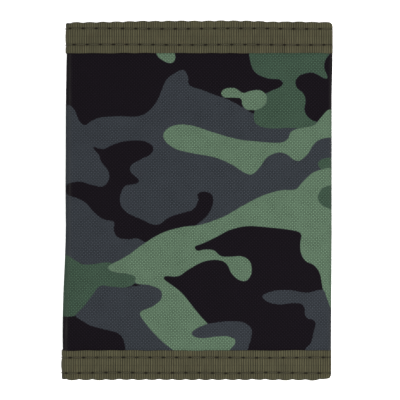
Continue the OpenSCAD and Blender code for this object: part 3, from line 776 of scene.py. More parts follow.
def sewn_relief(rows, edge, fold, outside, inside, seed):
    """How sewing shapes a tape: ribs, sunk rows, needle holes, a scalloped fold and uneven edges."""
    side = 1 if fold > edge else -1

    def shape(flat):
        flat = flat.copy()
        t, y, w = flat.T.copy()
        middle = (outside + inside) / 2
        outward = np.where(w < outside + 0.3 * MM, -1.0, np.where(w > inside - 0.3 * MM, 1.0, 0.0))
        rib = np.abs(np.sin(math.pi * t / RIB)) ** 0.7 - 0.6
        swell = 0.055 * MM * rib
        seam = np.full((len(t), 3), DEEP)
        for number, row in enumerate(rows):
            shift = 0.31 * number * STITCH
            phase = (t + shift) / STITCH
            wander = 0.12 * MM * waves(t, np.full(len(t), row), seed + number, 26 * MM)
            off = (y - row - wander) / MM
            near_hole = np.abs(phase - np.round(phase)) * STITCH / MM
            sunk = np.exp(-(off / 0.62) ** 2)
            pit = np.exp(-(off / 0.42) ** 2 - (near_hole / 0.50) ** 2)
            swell -= sunk * (0.10 * MM) + pit * (0.26 * MM)
            closer = np.abs(off) * MM < np.abs(seam[:, 0])
            seam[closer, 0] = off[closer] * MM
            seam[closer, 1] = t[closer] + shift
        between = np.exp(-((y - (rows[0] + rows[1]) / 2) / (1.6 * MM)) ** 2)
        swell += 0.07 * MM * between + 0.05 * MM * waves(t, y, seed + 7, 5 * MM)
        flat[:, 2] = w + outward * swell
        # The thread draws the folded edge in at each needle hole.
        near_fold = ease(1 - np.abs(fold - y) / (2.2 * MM))
        scallop = (0.22 if side > 0 else 0.30) * MM * (0.5 + 0.5 * np.cos(2 * math.pi * t / STITCH)) ** 1.5
        uneven = 0.12 * MM * waves(t, np.zeros(len(t)), seed + 3, 17 * MM)
        crown = 0.26 * MM * np.cos(2 * math.pi * (t / WIDE - 0.5)) if side > 0 else 0.0
        corner_lift = 0.0 if side > 0 else 0.50 * MM * ease((4.8 * MM - t) / (1.6 * MM))
        flat[:, 1] -= side * near_fold * (scallop + uneven - crown + corner_lift - 0.12 * MM)
        near_edge = ease(1 - np.abs(y - edge) / (1.5 * MM))
        flat[:, 1] += side * near_edge * (0.10 * MM * waves(t, np.zeros(len(t)), seed + 4, 9 * MM))
        # The cut ends are turned in and rounded, and so are the corners where the strip folds.
        for end, direction in ((0.0, 1), (STRIP_END, -1)):
            gap = np.clip((t - end) * direction / (1.3 * MM), 0, 1)
            rounding = 1 - np.sqrt(np.clip(1 - (1 - gap) ** 2, 0, 1))
            flat[:, 1] -= side * near_fold * rounding * 1.1 * MM
            flat[:, 2] += (middle - flat[:, 2]) * rounding * 0.55
        for corner in CORNERS:
            gap = np.clip(np.abs(t - corner) / (2.4 * MM), 0, 1)
            flat[:, 1] -= side * near_fold * (1 - ease(gap)) * 0.8 * MM
        return flat, seam

    return shape


def stitches(rows, first, last, outside, inside, seed):
    """One small sunk loop of thread for each stitch, on both faces of the seam."""
    bm = bmesh.new()
    r = np.random.default_rng(seed)
    thread = one_stitch(1.72 * MM, 0.20 * MM, 0.18 * MM)
    for number, row in enumerate(rows):
        shift = 0.31 * number
        numbers = np.arange(int(first / STITCH + shift) - 1, int(last / STITCH + shift) + 2)
        middles = (numbers + 0.5 - shift) * STITCH
        margin = (SIDE_EDGE if outside > 0 else 0.0) + 1.95 * MM
        middles = middles[(middles >= max(first, margin)) & (middles < min(last, STRIP_END - margin))]
        wander = 0.12 * MM * waves(middles, np.full(len(middles), row), seed + number, 26 * MM)
        for w, side in ((outside - 0.02 * MM, -1), (inside + 0.02 * MM, 1)):
            places = []
            for t, off in zip(middles, wander):
                turn = Matrix.Rotation(math.radians(float(r.uniform(-2.5, 2.5)) + 1.5 * side), 4, "Z")
                places.append(Matrix.Translation((t, row + off, w)) @ turn)
            set_down(bm, thread, places)
    return bm


# Operators

class WalletSizes(bpy.types.PropertyGroup):
    """Sizes that a user would change."""

    cloth_step: bpy.props.FloatProperty(name="Cloth detail",
        description="Size of the squares that the outer cloth is cut into",
        default=0.6 * MM, min=0.4 * MM, unit="LENGTH")
    tape_step: bpy.props.FloatProperty(name="Tape detail",
        description="Length of one step along a binding tape",
        default=RIB / 4, min=0.1 * MM, unit="LENGTH")
    dome: bpy.props.FloatProperty(name="Cloth dome",
        description="How far the cloth stands up between its sewn edges",
        default=0.16 * MM, min=0.0, unit="LENGTH")


class WalletColours(bpy.types.PropertyGroup):
    """Colours of the cloth, tape and thread."""

    slate: bpy.props.FloatVectorProperty(name="Slate", description="Grey ink of the print", subtype="COLOR",
        size=3, default=(0.0126, 0.0150, 0.0182))
    moss: bpy.props.FloatVectorProperty(name="Moss",
        description="Middle green ink of the print", subtype="COLOR",
        size=3, default=(0.0168, 0.0318, 0.0206))
    leaf: bpy.props.FloatVectorProperty(name="Leaf",
        description="Light green ink of the print", subtype="COLOR",
        size=3, default=(0.0420, 0.0685, 0.0438))
    dark: bpy.props.FloatVectorProperty(name="Dark",
        description="Near-black ink of the print", subtype="COLOR",
        size=3, default=(0.0012, 0.0004, 0.0015))
    wear: bpy.props.FloatVectorProperty(name="Wear",
        description="Cloth with its print rubbed off", subtype="COLOR",
        size=3, default=(0.03, 0.029, 0.026))
    # Painted sheen colour, added on the crowns of raised yarns.
    painted_sheen: bpy.props.FloatVectorProperty(name="Painted sheen",
        description="Light that raised yarns give back", subtype="COLOR",
        size=3, default=(0.0020, 0.0018, 0.0020))
    tape: bpy.props.FloatVectorProperty(name="Tape", description="Olive binding tape", subtype="COLOR",
        size=3, default=(0.0270, 0.0252, 0.0132))
    # Painted shadow colour for the needle holes and the sunk stitch rows of the tapes.
    hole: bpy.props.FloatVectorProperty(name="Needle hole",
        description="Shadow in the needle holes", subtype="COLOR",
        size=3, default=(0.003, 0.0022, 0.001))
    thread: bpy.props.FloatVectorProperty(name="Thread", description="Sewing thread", subtype="COLOR",
        size=3, default=(0.0225, 0.0205, 0.0108))


class WALLET_OT_outer_cloth(bpy.types.Operator):
    """Lays out the printed outer cloth and folds it round the wallet"""

    bl_idname = "wallet.outer_cloth"
    bl_label = "Outer Cloth"

    def execute(self, context):
        sizes = context.scene.wallet_sizes
        for stretch in STRETCHES:
            name, first, last, _, _, _ = stretch
            first = max(first, SIDE_EDGE)
            last = min(last, STRIP_END - SIDE_EDGE)
            bm = sheet_of(first, last, -CLOTH_TOP, CLOTH_TOP, sizes.cloth_step, SHELL_OUT, SHELL_IN)
            for face in bm.faces:
                face.material_index = 1 if face.calc_center_median().z > SHELL_IN - 0.1 * MM else 0
            nodes = [f"shell_{n}" for n in STANDS_FOR[name]]
            piece = seal(bm, f"outer_cloth_{name}", ("camouflage", "coating"), nodes,
                stretch=stretch, pattern=True, relief=cloth_relief(sizes.dome))
        return {"FINISHED"}


def cloth_relief(dome):
    """How far the outer cloth stands up between its sewn edges, a little unevenly."""

    def shape(flat):
        flat = flat.copy()
        t, y, w = flat.T.copy()
        edge = np.maximum(1 - (np.abs(y) / (TAPE_EDGE + 0.4 * MM)) ** 6, 0)
        gap = np.abs(t[:, None] - CORNERS[None, :]).min(1)
        in_spine = ((t > CORNERS[0]) & (t < CORNERS[1])) | ((t > CORNERS[2]) & (t < CORNERS[3]))
        rise = edge * (np.minimum(1, gap / (3 * MM)) * dome + 0.07 * MM * waves(t, y, 2, 30 * MM))
        bulge = edge * np.where(in_spine, 0.32 * MM, 0.32 * MM * ease(1 - gap / (2.5 * MM)))
        flat[:, 2] = w - rise - bulge
        return flat, None

    return shape


class WALLET_OT_inner_wall(bpy.types.Operator):
    """Lays out the inner wall of the note compartment"""

    bl_idname = "wallet.inner_wall"
    bl_label = "Inner Wall"

    def execute(self, context):
        for stretch in STRETCHES:
            name, first, last, _, _, _ = stretch
            first = max(first, SIDE_EDGE)
            last = min(last, STRIP_END - SIDE_EDGE)
            bm = sheet_of(first, last, -CLOTH_TOP + 0.1 * MM, WALL_TOP, 1.1 * MM, WALL_OUT, WALL_IN)
            nodes = [f"wall_{n}" for n in STANDS_FOR[name]]
            piece = seal(bm, f"inner_wall_{name}", ("lining",), nodes, stretch=stretch)
        return {"FINISHED"}


TAPES = {
    "top_tape": (TAPE_EDGE, TOP, 0.0, SHELL_IN + TAPE, TOP_ROWS, "top_thread", 11),
    "bottom_tape": (BOTTOM_TAPE_EDGE, -TOP, 0.0, WALL_IN + TAPE, BOTTOM_ROWS, "bottom_thread", 23),
    "wall_tape": (WALL_TAPE_EDGE, WALL_TAPE_TOP, WALL_OUT - TAPE, WALL_IN + TAPE, WALL_ROWS, None, 37),
}


class WALLET_OT_binding_tapes(bpy.types.Operator):
    """Folds a ribbed tape over each long edge and sews it with two rows of stitches"""

    bl_idname = "wallet.binding_tapes"
    bl_label = "Binding Tapes and Stitches"

    def execute(self, context):
        step = context.scene.wallet_sizes.tape_step
        for kind, (edge, fold, outside, inside, rows, thread, seed) in TAPES.items():
            inset = SIDE_EDGE if kind == "wall_tape" else 0.0
            for stretch in STRETCHES:
                name, first, last, _, _, _ = stretch
                first = max(first, inset)
                last = min(last, STRIP_END - inset)
                bm = bmesh.new()
                profile = bound_profile(edge, fold, outside, inside, TAPE, rows)
                run_out(bm, profile, (first, 0, 0), (last - first, 0, 0), round((last - first) / step))
                relief = sewn_relief(rows, edge, fold, outside, inside, seed)
                nodes = [f"{kind}_{n}" for n in STANDS_FOR[name]]
                seal(bm, f"{kind}_sewn_{name}", ("tape",), nodes, stretch=stretch,
                    relief=relief)
                bm = stitches(rows, first, last, outside, inside, seed)
                nodes = [f"{thread}_{n}" for n in STANDS_FOR[name]] if thread else []
                seal(bm, f"{kind}_stitches_{name}", ("thread",), nodes, stretch=stretch)
        return {"FINISHED"}


class WALLET_OT_side_edges(bpy.types.Operator):
    """Turns the cloth in along the free edge of each flap"""

    bl_idname = "wallet.side_edges"
    bl_label = "Side Edges"

    def execute(self, context):
        step = context.scene.wallet_sizes.cloth_step
        reach = TAPE_EDGE + 0.3 * MM
        low = BOTTOM_TAPE_EDGE - 0.3 * MM
        ends = (("front", 0.0, 1, "front_flap"), ("inner", STRIP_END, -1, "inner_flap"))
        for name, edge, side, body in ends:
            bm = bmesh.new()
            turn = [math.pi / 2 * k / 5 for k in range(6)]
            bend = SIDE_EDGE * 0.95
            points = [(SIDE_EDGE + 0.02 * MM, SHELL_OUT)]
            points += [(SIDE_EDGE - bend * math.sin(a), SHELL_OUT + bend - bend * math.cos(a))
                for a in turn[1:]]
            points += [(0.04 * MM, WALL_IN - 0.4 * MM), (0.12 * MM, WALL_IN - 0.1 * MM), (0.4 * MM, WALL_IN)]
            points += [(SIDE_EDGE, WALL_IN), (SIDE_EDGE, SHELL_OUT + 0.5 * MM)]
            profile = [(edge + side * u, w) for u, w in points]
            run_out(bm, profile, (0, low, 0), (0, reach - low, 0), round((reach - low) / step))
            seal(bm, f"turned_edge_{name}", ("camouflage",), [f"side_edge_{name}"], body=body,
                pattern=True)
        return {"FINISHED"}


def soften(bm, edges, offset):
    """Rounds edges with two small steps."""
    bmesh.ops.bevel(bm, geom=edges, offset=offset, segments=2, profile=0.5, affect="EDGES", material=-1)


def plate(first, last, low, high, outside, inside, step, soft):
    """A thin flat piece with softened edges, of small squares on both faces."""
    bm = sheet_of(first, last, low, high, step, outside, inside)
    rims = [e for e in bm.edges if e.calc_face_angle(0.0) > 1.0]
    soften(bm, rims, soft)
    return bm


def row_of_stitches(bm, start, end, w, side, pitch, size):
    """Stitches in a straight line from start to end, each (place, height)."""
    (t0, y0), (t1, y1) = start, end
    count = max(1, round(math.hypot(t1 - t0, y1 - y0) / pitch))
    turn = Matrix.Rotation(math.atan2(y1 - y0, t1 - t0), 4, "Z")
    spots = [(k + 0.5) / count for k in range(count)]
    places = [Matrix.Translation((t0 + s * (t1 - t0), y0 + s * (y1 - y0), w + side * 0.03 * MM)) @ turn
        for s in spots]
    set_down(bm, one_stitch(pitch * 0.42, size, size), places)


def stitch_round(bm, edges, inset, w, side, pitch, size):
    """Stitches round a rectangle of (first, last, low, high), a little inside its edges."""
    first, last, low, high = edges
    corners = [(first + inset, low + inset), (last - inset, low + inset),
        (last - inset, high - inset), (first + inset, high - inset)]
    for a, b in zip(corners, corners[1:] + corners[:1]):
        row_of_stitches(bm, a, b, w, side, pitch, size)


def strip_box(node, corner, on_back=False):
    """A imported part's place on the flat strip: first, last, low, high, and its least and greatest depth."""
    low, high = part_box(node)
    if on_back:
        base = float(CORNERS[1]) + HALF
        return base + low.x, base + high.x, low.y, high.y, low.z, high.z
    if corner == 3:
        base = float(CORNERS[3]) + HALF
        return base - high.x, base - low.x, low.y, high.y, INNER_TOP - high.z, INNER_TOP - low.z
    return HALF - high.x, HALF - low.x, low.y, high.y, THICK - high.z, THICK - low.z


class WALLET_OT_card_pockets(bpy.types.Operator):
    """Cuts and binds the three stepped card pockets"""

    bl_idname = "wallet.card_pockets"
    bl_label = "Card Pockets"

    def execute(self, context):
        for rank in ("rear", "middle", "front"):
            first, last, low, high, outside, inside = strip_box(f"card_pocket_{rank}", 1, on_back=True)
            skin = 0.35 * MM
            bm = plate(first, last, low, high, inside - skin, inside, 1.3 * MM, 0.1 * MM)
            for v in bm.verts:
                t, y, w = v.co
                across = (t - first) / (last - first)
                up = (y - low) / (high - low)
                crown = 0.10 * MM * math.sqrt(
                    max(0.0, math.sin(math.pi * across)) * max(0.0, math.sin(math.pi * up)))
                side = min(1.0, min(t - first, last - t, y - low) / (1.2 * MM))
                v.co.z = w + crown * (1 if w > inside - skin / 2 else 0.6) - 0.12 * MM * (1 - side)
            seal(bm, f"pocket_sheet_{rank}", ("pocket",), [f"card_pocket_{rank}"],
                body="back_panel")
            first, last, low, high, outside, inside = strip_box(f"pocket_binding_{rank}", 1, on_back=True)
            bm = bmesh.new()
            row = low + 1.3 * MM
            profile = bound_profile(low, high, outside, inside, 0.14 * MM, (row,))
            run_out(bm, profile, (first, 0, 0), (last - first, 0, 0), round((last - first) / (RIB / 4)))
            seal(bm, f"pocket_band_{rank}", ("tape",), [f"pocket_binding_{rank}"],
                body="back_panel", relief=narrow_relief(row, inside))
            bm = bmesh.new()
            row_of_stitches(bm, (first + MM, row), (last - MM, row), inside, 1, 3.0 * MM, 0.15 * MM)
            for t in (first + 1.1 * MM, last - 1.1 * MM):
                row_of_stitches(bm, (t, strip_box(f"card_pocket_{rank}", 1, True)[2] + MM), (t, low - MM),
                    inside - 0.16 * MM, 1, 3.0 * MM, 0.14 * MM)
            seal(bm, f"pocket_stitches_{rank}", ("thread",), [], body="back_panel")
        return {"FINISHED"}


def narrow_relief(row, inside):
    """Ribs and one sunk row on a narrow binding."""

    def shape(flat):
        flat = flat.copy()
        t, y, w = flat.T.copy()
        outward = np.where(w > inside - 0.05 * MM, 1.0, 0.0)
        rib = np.abs(np.sin(math.pi * t / RIB)) ** 0.7 - 0.6
        phase = t / (3.0 * MM)
        near_hole = np.abs(phase - np.round(phase)) * 3.0
        off = (y - row) / MM
        pit = np.exp(-(off / 0.4) ** 2) * (0.05 + 0.1 * np.exp(-(near_hole / 0.4) ** 2))
        flat[:, 2] = w + outward * MM * (0.03 * rib - pit)
        seam = np.stack([off * MM, t * STITCH / (3.0 * MM), np.zeros(len(t))], axis=1)
        return flat, seam

    return shape


class WALLET_OT_identity_window(bpy.types.Operator):
    """Sews the clear window and its frame to the front flap"""

    bl_idname = "wallet.identity_window"
    bl_label = "Identity Window"

    def execute(self, context):
        first, last, low, high, outside, inside = strip_box("window_frame", 0)
        border = 6 * MM
        skin = 0.35 * MM
        bm = bmesh.new()
        bmesh.ops.create_grid(bm, x_segments=64, y_segments=78, size=0.5)
        bmesh.ops.scale(bm, vec=(last - first, high - low, 1), verts=bm.verts)
        bmesh.ops.translate(bm, vec=((first + last) / 2, (low + high) / 2, 0), verts=bm.verts)
        inner = [f for f in bm.faces if first + border < f.calc_center_median().x < last - border
            and low + border < f.calc_center_median().y < high - border]
        bmesh.ops.delete(bm, geom=inner, context="FACES")
        thicken(bm, inside - skin, inside)
        rims = [e for e in bm.edges if e.calc_face_angle(0.0) > 1.0]
        soften(bm, rims, 0.1 * MM)
        for v in bm.verts:
            t, y, w = v.co
            out = min(t - first, last - t, y - low, high - y)
            v.co.z = w - 0.30 * MM * max(0.0, 1 - out / (1.4 * MM)) + 0.08 * MM * math.sin(
                math.pi * min(1.0, out / border))
        seal(bm, "window_border", ("pocket",), ["window_frame"], body="front_flap")
        bm = bmesh.new()
        for inset in (1.5 * MM, border - 1.4 * MM):
            stitch_round(bm, (first, last, low, high), inset, inside, 1, 3.0 * MM, 0.15 * MM)
        seal(bm, "window_stitches", ("thread",), [], body="front_flap")
        first, last, low, high, outside, inside = strip_box("window_film", 0)
        bm = plate(first, last, low, high, outside, inside, 2.0 * MM, 0.05 * MM)
        for v in bm.verts:
            t, y, w = v.co
            v.co.z = w + 0.06 * MM * math.sin(t * 190) * math.sin(y * 130 + 1)
        seal(bm, "window_pane", ("film",), ["window_film"], body="front_flap")
        return {"FINISHED"}


class WALLET_OT_fastening(bpy.types.Operator):
    """Makes the hook strip with its hooks and the loop strip with its pile"""

    bl_idname = "wallet.fastening"
    bl_label = "Hook and Loop Strips"

    def execute(self, context):
        first, last, low, high, outside, inside = strip_box("hook_strip", 0)
        base = outside + 0.5 * MM
        bm = plate(first, last, low, high, outside, base, 2.0 * MM, 0.12 * MM)
        pitch = 1.35 * MM
        r = np.random.default_rng(4)
        bent = one_hook(inside - base + 0.05 * MM)
        places = []
        for i in range(round((last - first - 4 * MM) / pitch)):
            for j in range(round((high - low - 4 * MM) / pitch)):
                t = first + 2 * MM + (i + 0.5) * pitch
                y = low + 2 * MM + (j + 0.25 + 0.5 * (i % 2)) * pitch
                turn = math.radians(180 * (i % 2) + float(r.uniform(-14, 14)))
                places.append(Matrix.Translation((t, y, base - 0.05 * MM)) @ Matrix.Rotation(turn, 4, "Z"))
        set_down(bm, bent, places)
        seal(bm, "hook_tape", ("hook",), ["hook_strip"], body="front_flap")
        bm = bmesh.new()
        inset = 1.2 * MM
        stitch_round(bm, (first, last, low, high), inset, base, 1, 2.8 * MM, 0.16 * MM)
        seal(bm, "hook_strip_stitches", ("thread",), [], body="front_flap")
        first, last, low, high, outside, inside = strip_box("loop_strip", 3)
        bm = plate(first, last, low, high, outside, inside, 0.42 * MM, 0.2 * MM)
        r = np.random.default_rng(9)
        for v in bm.verts:
            t, y, w = v.co
            if w < (outside + inside) / 2:
                rim = min(1.0, min(t - first, last - t, y - low, high - y) / (1.6 * MM))
                v.co.z = w + (0.35 * (1 - rim) + 0.30 * float(r.random()) * rim) * MM
                v.co.x += float(r.uniform(-0.1, 0.1)) * MM
                v.co.y += float(r.uniform(-0.1, 0.1)) * MM
        seal(bm, "loop_tape", ("loop",), ["loop_strip"], body="inner_flap")
        bm = bmesh.new()
        stitch_round(bm, (first, last, low, high), inset, outside + 0.22 * MM, -1, 2.8 * MM, 0.16 * MM)
        seal(bm, "loop_strip_stitches", ("thread",), [], body="inner_flap")
        return {"FINISHED"}


def one_hook(rise):
    """A bent hook: a short stalk that curls over."""
    bm = bmesh.new()
    bend = 0.24 * MM
    stalk = rise - bend - 0.09 * MM
    bmesh.ops.create_circle(bm, cap_ends=True, segments=5, radius=0.09 * MM)
    grown = bmesh.ops.extrude_face_region(bm, geom=list(bm.faces))
    upper = [g for g in grown["geom"] if isinstance(g, bmesh.types.BMVert)]
    bmesh.ops.translate(bm, vec=(0, 0, stalk), verts=upper)
    cap = [g for g in grown["geom"] if isinstance(g, bmesh.types.BMFace)]
    bmesh.ops.spin(bm, geom=cap, cent=(bend, 0, stalk), axis=(0, 1, 0), angle=math.radians(200), steps=5,
        use_duplicate=False)
    return template(bm)


class WALLET_OT_coin_pocket(bpy.types.Operator):
    """Makes the coin pocket with its zip tapes, tooth chains and stops"""

    bl_idname = "wallet.coin_pocket"
    bl_label = "Coin Pocket and Zip"

    def execute(self, context):
        skin = 0.4 * MM
        for part in ("lower", "upper"):
            first, last, low, high, outside, inside = strip_box(f"coin_panel_{part}", 3)
            bm = plate(first, last, low, high, inside - skin, inside, 1.3 * MM, 0.12 * MM)
            for v in bm.verts:
                t, y, w = v.co
                out = min(t - first, last - t, abs(y - (low if part == "lower" else high)))
                v.co.z = w - 0.35 * MM * max(0.0, 1 - out / (1.6 * MM)) ** 2
            seal(bm, f"coin_sheet_{part}", ("pocket",), [f"coin_panel_{part}"],
                body="inner_flap")
            bm = bmesh.new()
            mouth = high - 1.0 * MM if part == "lower" else low + 1.0 * MM
            row_of_stitches(bm, (first + MM, mouth), (last - MM, mouth), inside, 1, 2.6 * MM, 0.14 * MM)
            if part == "lower":
                for t in (first + 1.3 * MM, last - 1.3 * MM):
                    row_of_stitches(bm, (t, low + MM), (t, high - 2 * MM), inside - 0.1 * MM, 1, 3.0 * MM,
                        0.14 * MM)
                row_of_stitches(bm, (first + 1.5 * MM, low + 1.2 * MM), (last - 1.5 * MM, low + 1.2 * MM),
                    inside - 0.1 * MM, 1, 3.0 * MM, 0.14 * MM)
            seal(bm, f"coin_stitches_{part}", ("thread",), [], body="inner_flap")
            first, last, low, high, outside, inside = strip_box(f"zip_tape_{part}", 3)
            bm = plate(first, last, low, high, outside, inside, 0.6 * MM, 0.08 * MM)
            for v in bm.verts:
                v.co.z += 0.03 * MM * math.sin(v.co.x / MM * 2.1) * math.sin(v.co.y / MM * 1.7)
            seal(bm, f"zip_side_{part}", ("zip_tape",), [f"zip_tape_{part}"], body="inner_flap")
            self.chain(part)
        for end in ("closed", "open"):
            first, last, low, high, outside, inside = strip_box(f"zip_stop_{end}", 3)
            bm = bmesh.new()
            bmesh.ops.create_cube(bm, size=1.0)
            wide = Matrix.Translation(((first + last) / 2, (low + high) / 2, (outside + inside) / 2))
            wide = wide @ Matrix.Diagonal((last - first, high - low, inside - outside, 1))
            bmesh.ops.transform(bm, matrix=wide, verts=bm.verts)
            bmesh.ops.bevel(bm, geom=list(bm.edges), offset=0.3 * MM, segments=3, profile=0.5,
                affect="EDGES", material=-1)
            bmesh.ops.subdivide_edges(bm, edges=[e for e in bm.edges if e.calc_length() > 0.8 * MM], cuts=4,
                use_grid_fill=True)
            middle = (low + high) / 2
            for v in bm.verts:
                dip = math.exp(-((v.co.y - middle) / (0.45 * MM)) ** 2)
                if v.co.z > (outside + inside) / 2:
                    v.co.z -= 0.22 * MM * dip
            seal(bm, f"zip_end_{end}", ("metal",), [f"zip_stop_{end}"], body="inner_flap")
        return {"FINISHED"}

    def chain(self, part):
        first, last, low, high, outside, inside = strip_box(f"zip_chain_{part}", 3)
        pitch = 1.05 * MM
        inward = 1 if part == "lower" else -1
        offset = 0.0 if part == "lower" else 0.5
        seam = (high if part == "lower" else low) + inward * 0.45 * MM
        outer = low if part == "lower" else high
        bm = bmesh.new()
        tip = seam + inward * 0.35 * MM
        tooth = bmesh.new()
        bmesh.ops.create_uvsphere(tooth, u_segments=8, v_segments=6, radius=1.0)
        size = (0.26 * MM, abs(tip - outer) / 2, (inside - outside) / 2)
        bmesh.ops.scale(tooth, vec=size, verts=tooth.verts)
        count = int((last - first - 2.4 * MM) / pitch)
        spots = [first + 1.7 * MM + (k + offset) * pitch for k in range(count)]
        set_down(bm, template(tooth),
            [Matrix.Translation((t, (outer + tip) / 2, (outside + inside) / 2)) for t in spots])
        cord = bmesh.ops.create_cone(bm, cap_ends=True, segments=8, radius1=0.28 * MM, radius2=0.28 * MM,
            depth=last - first)
        lying = Matrix.Translation(((first + last) / 2, (low + high) / 2 - inward * 0.25 * MM,
            (outside + inside) / 2)) @ Matrix.Rotation(math.radians(90), 4, "Y")
        bmesh.ops.transform(bm, matrix=lying, verts=cord["verts"])
        seal(bm, f"zip_coil_{part}", ("zip_coil",), [f"zip_chain_{part}"], body="inner_flap")


def add(bm, part):
    """Puts a finished shape into a piece, and clears the shape away."""
    mesh = bpy.data.meshes.new("part")
    part.to_mesh(mesh)
    part.free()
    bm.from_mesh(mesh)
    bpy.data.meshes.remove(mesh)


def cushion_block(bm, first, last, low, high, outside, inside, soft, taper=0.0):
    """A metal block with rounded edges, drawn in at its far end by taper."""
    part = bmesh.new()
    bmesh.ops.create_grid(part, x_segments=8 if taper else 1, y_segments=1, size=0.5)
    bmesh.ops.solidify(part, geom=list(part.faces), thickness=1.0)
    bottom = min(v.co.z for v in part.verts)
    bmesh.ops.translate(part, vec=(0.5, 0.5, -bottom), verts=part.verts)
    bmesh.ops.scale(part, vec=(last - first, high - low, inside - outside), verts=part.verts)
    bmesh.ops.translate(part, vec=(first, low, outside), verts=part.verts)
    middle, centre = (low + high) / 2, (first + last) / 2
    for v in part.verts:
        s = (v.co.x - centre) / ((last - first) / 2)
        v.co.y = middle + (v.co.y - middle) * (1 - taper * max(0.0, s) ** 2 - 0.35 * taper * s ** 4)
    bmesh.ops.recalc_face_normals(part, faces=part.faces)
    edges = [e for e in part.edges if e.calc_face_angle(0.0) > 0.9]
    bmesh.ops.bevel(part, geom=edges, offset=soft, segments=3, profile=0.5, affect="EDGES", material=-1)
    add(bm, part)


class WALLET_OT_slider(bpy.types.Operator):
    """Makes the zip slider and its pull tab"""

    bl_idname = "wallet.slider"
    bl_label = "Slider and Pull Tab"

    def execute(self, context):
        first, last, low, high, outside, inside = strip_box("zip_slider", 3)
        middle, centre = (low + high) / 2, (first + last) / 2
        chain_in = strip_box("zip_chain_lower", 3)[5]
        panel_in = strip_box("coin_panel_lower", 3)[5]
        plate_out, plate_in = chain_in + 0.1 * MM, chain_in + 0.6 * MM
        bm = bmesh.new()
        cushion_block(bm, first, last, low, high, plate_out, plate_in, 0.16 * MM, taper=0.30)
        cushion_block(bm, first, last, low + 0.2 * MM, high - 0.2 * MM, outside, outside + 0.4 * MM,
            0.12 * MM, taper=0.30)
        for side in (-1, 1):
            edge = middle + side * (high - low) / 2
            inner_edge = edge - side * 0.6 * MM
            cushion_block(bm, first + 0.5 * MM, centre + 0.8 * MM, min(edge, inner_edge),
                max(edge, inner_edge), panel_in - 0.25 * MM, plate_in - 0.05 * MM, 0.12 * MM)
        # The bridge is a bent strap that the pull tab hangs on.
        foot = plate_in - 0.05 * MM
        strap = bmesh.new()
        bmesh.ops.create_grid(strap, x_segments=1, y_segments=1, size=0.5)
        size = Matrix.Translation((-1.05 * MM, 0, 0)) @ Matrix.Diagonal((0.30 * MM, 1.2 * MM, 1, 1))
        bmesh.ops.transform(strap, matrix=size, verts=strap.verts)
        bmesh.ops.spin(strap, geom=list(strap.faces), cent=(0, 0, 0), axis=(0, 1, 0), angle=math.pi, steps=12,
            use_duplicate=False)
        highest = max(v.co.z for v in strap.verts)
        for v in strap.verts:
            v.co = (centre + v.co.x, middle + v.co.y, foot + v.co.z * (inside - foot) / highest)
        bmesh.ops.recalc_face_normals(strap, faces=strap.faces)
        edges = [e for e in strap.edges if e.calc_face_angle(0.0) > 0.9]
        soften(strap, edges, 0.07 * MM)
        add(bm, strap)
        bmesh.ops.recalc_face_normals(bm, faces=bm.faces)
        seal(bm, "slider_body", ("metal",), ["zip_slider"], body="slider")
        self.pull_tab()
        return {"FINISHED"}

    def pull_tab(self):
        first, last, low, high, outside, inside = strip_box("zip_puller", 3)
        middle = (low + high) / 2
        pin = first + 0.28 * MM
        bm = bmesh.new()
        rod = bmesh.ops.create_cone(bm, cap_ends=True, segments=14, radius1=0.26 * MM, radius2=0.26 * MM,
            depth=high - low - 0.2 * MM)
        turned = Matrix.Rotation(math.radians(90), 4, "X")
        lying = Matrix.Translation((pin, middle, outside + 0.28 * MM)) @ turned
        bmesh.ops.transform(bm, matrix=lying, verts=rod["verts"])
        for side in (-1, 1):
            edge = middle + side * (high - low) / 2
            ear = edge - side * 0.8 * MM
            cushion_block(bm, first, first + 2.7 * MM, min(edge, ear), max(edge, ear), outside, inside,
                0.14 * MM)
        tab = bmesh.new()
        bmesh.ops.create_circle(tab, cap_ends=True, segments=40, radius=1.0)
        long = last - first - 2.0 * MM
        for v in tab.verts:
            x, y = v.co.x, v.co.y
            v.co.x = first + 2.0 * MM + long / 2 + math.copysign(abs(x) ** 0.45, x) * long / 2
            v.co.y = middle + math.copysign(abs(y) ** 0.55, y) * (high - low) / 2 * (0.86 + 0.14 * x)
            v.co.z = outside
        tab.faces.ensure_lookup_table()
        bmesh.ops.solidify(tab, geom=list(tab.faces), thickness=-(inside - outside))
        bmesh.ops.recalc_face_normals(tab, faces=tab.faces)
        flats = sorted(tab.faces, key=lambda f: f.calc_area())[-2:]
        for face in flats:
            bmesh.ops.inset_region(tab, faces=[face], thickness=0.14 * MM, depth=0.0)
            side = 1 if face.calc_center_median().z > (outside + inside) / 2 else -1
            bmesh.ops.inset_region(tab, faces=[face], thickness=0.42 * MM, depth=0.0)
            bmesh.ops.inset_region(tab, faces=[face], thickness=0.14 * MM, depth=0.0)
            bmesh.ops.translate(tab, vec=(0, 0, -side * 0.14 * MM), verts=face.verts)
        edges = [e for e in tab.edges if e.calc_face_angle(0.0) > 1.2]
        soften(tab, edges, 0.1 * MM)
        add(bm, tab)
        seal(bm, "pull_tab", ("metal",), ["zip_puller"], body="puller")


# Name, place, size and power of each soft lamp, and the camera straight overhead.
LAMPS = (
    ("key_light", (0.30, -0.15, 0.40), 0.25, 3.2),
    ("fill_light", (-0.15, 0.30, 1.0), 0.6, 6.5),
)
ROOM_LIGHT = 1.65
CAMERA_HEIGHT = 0.80
CAMERA_PLACE = (0.0003, 0.00025)
VIEW_WIDTH = 0.1338


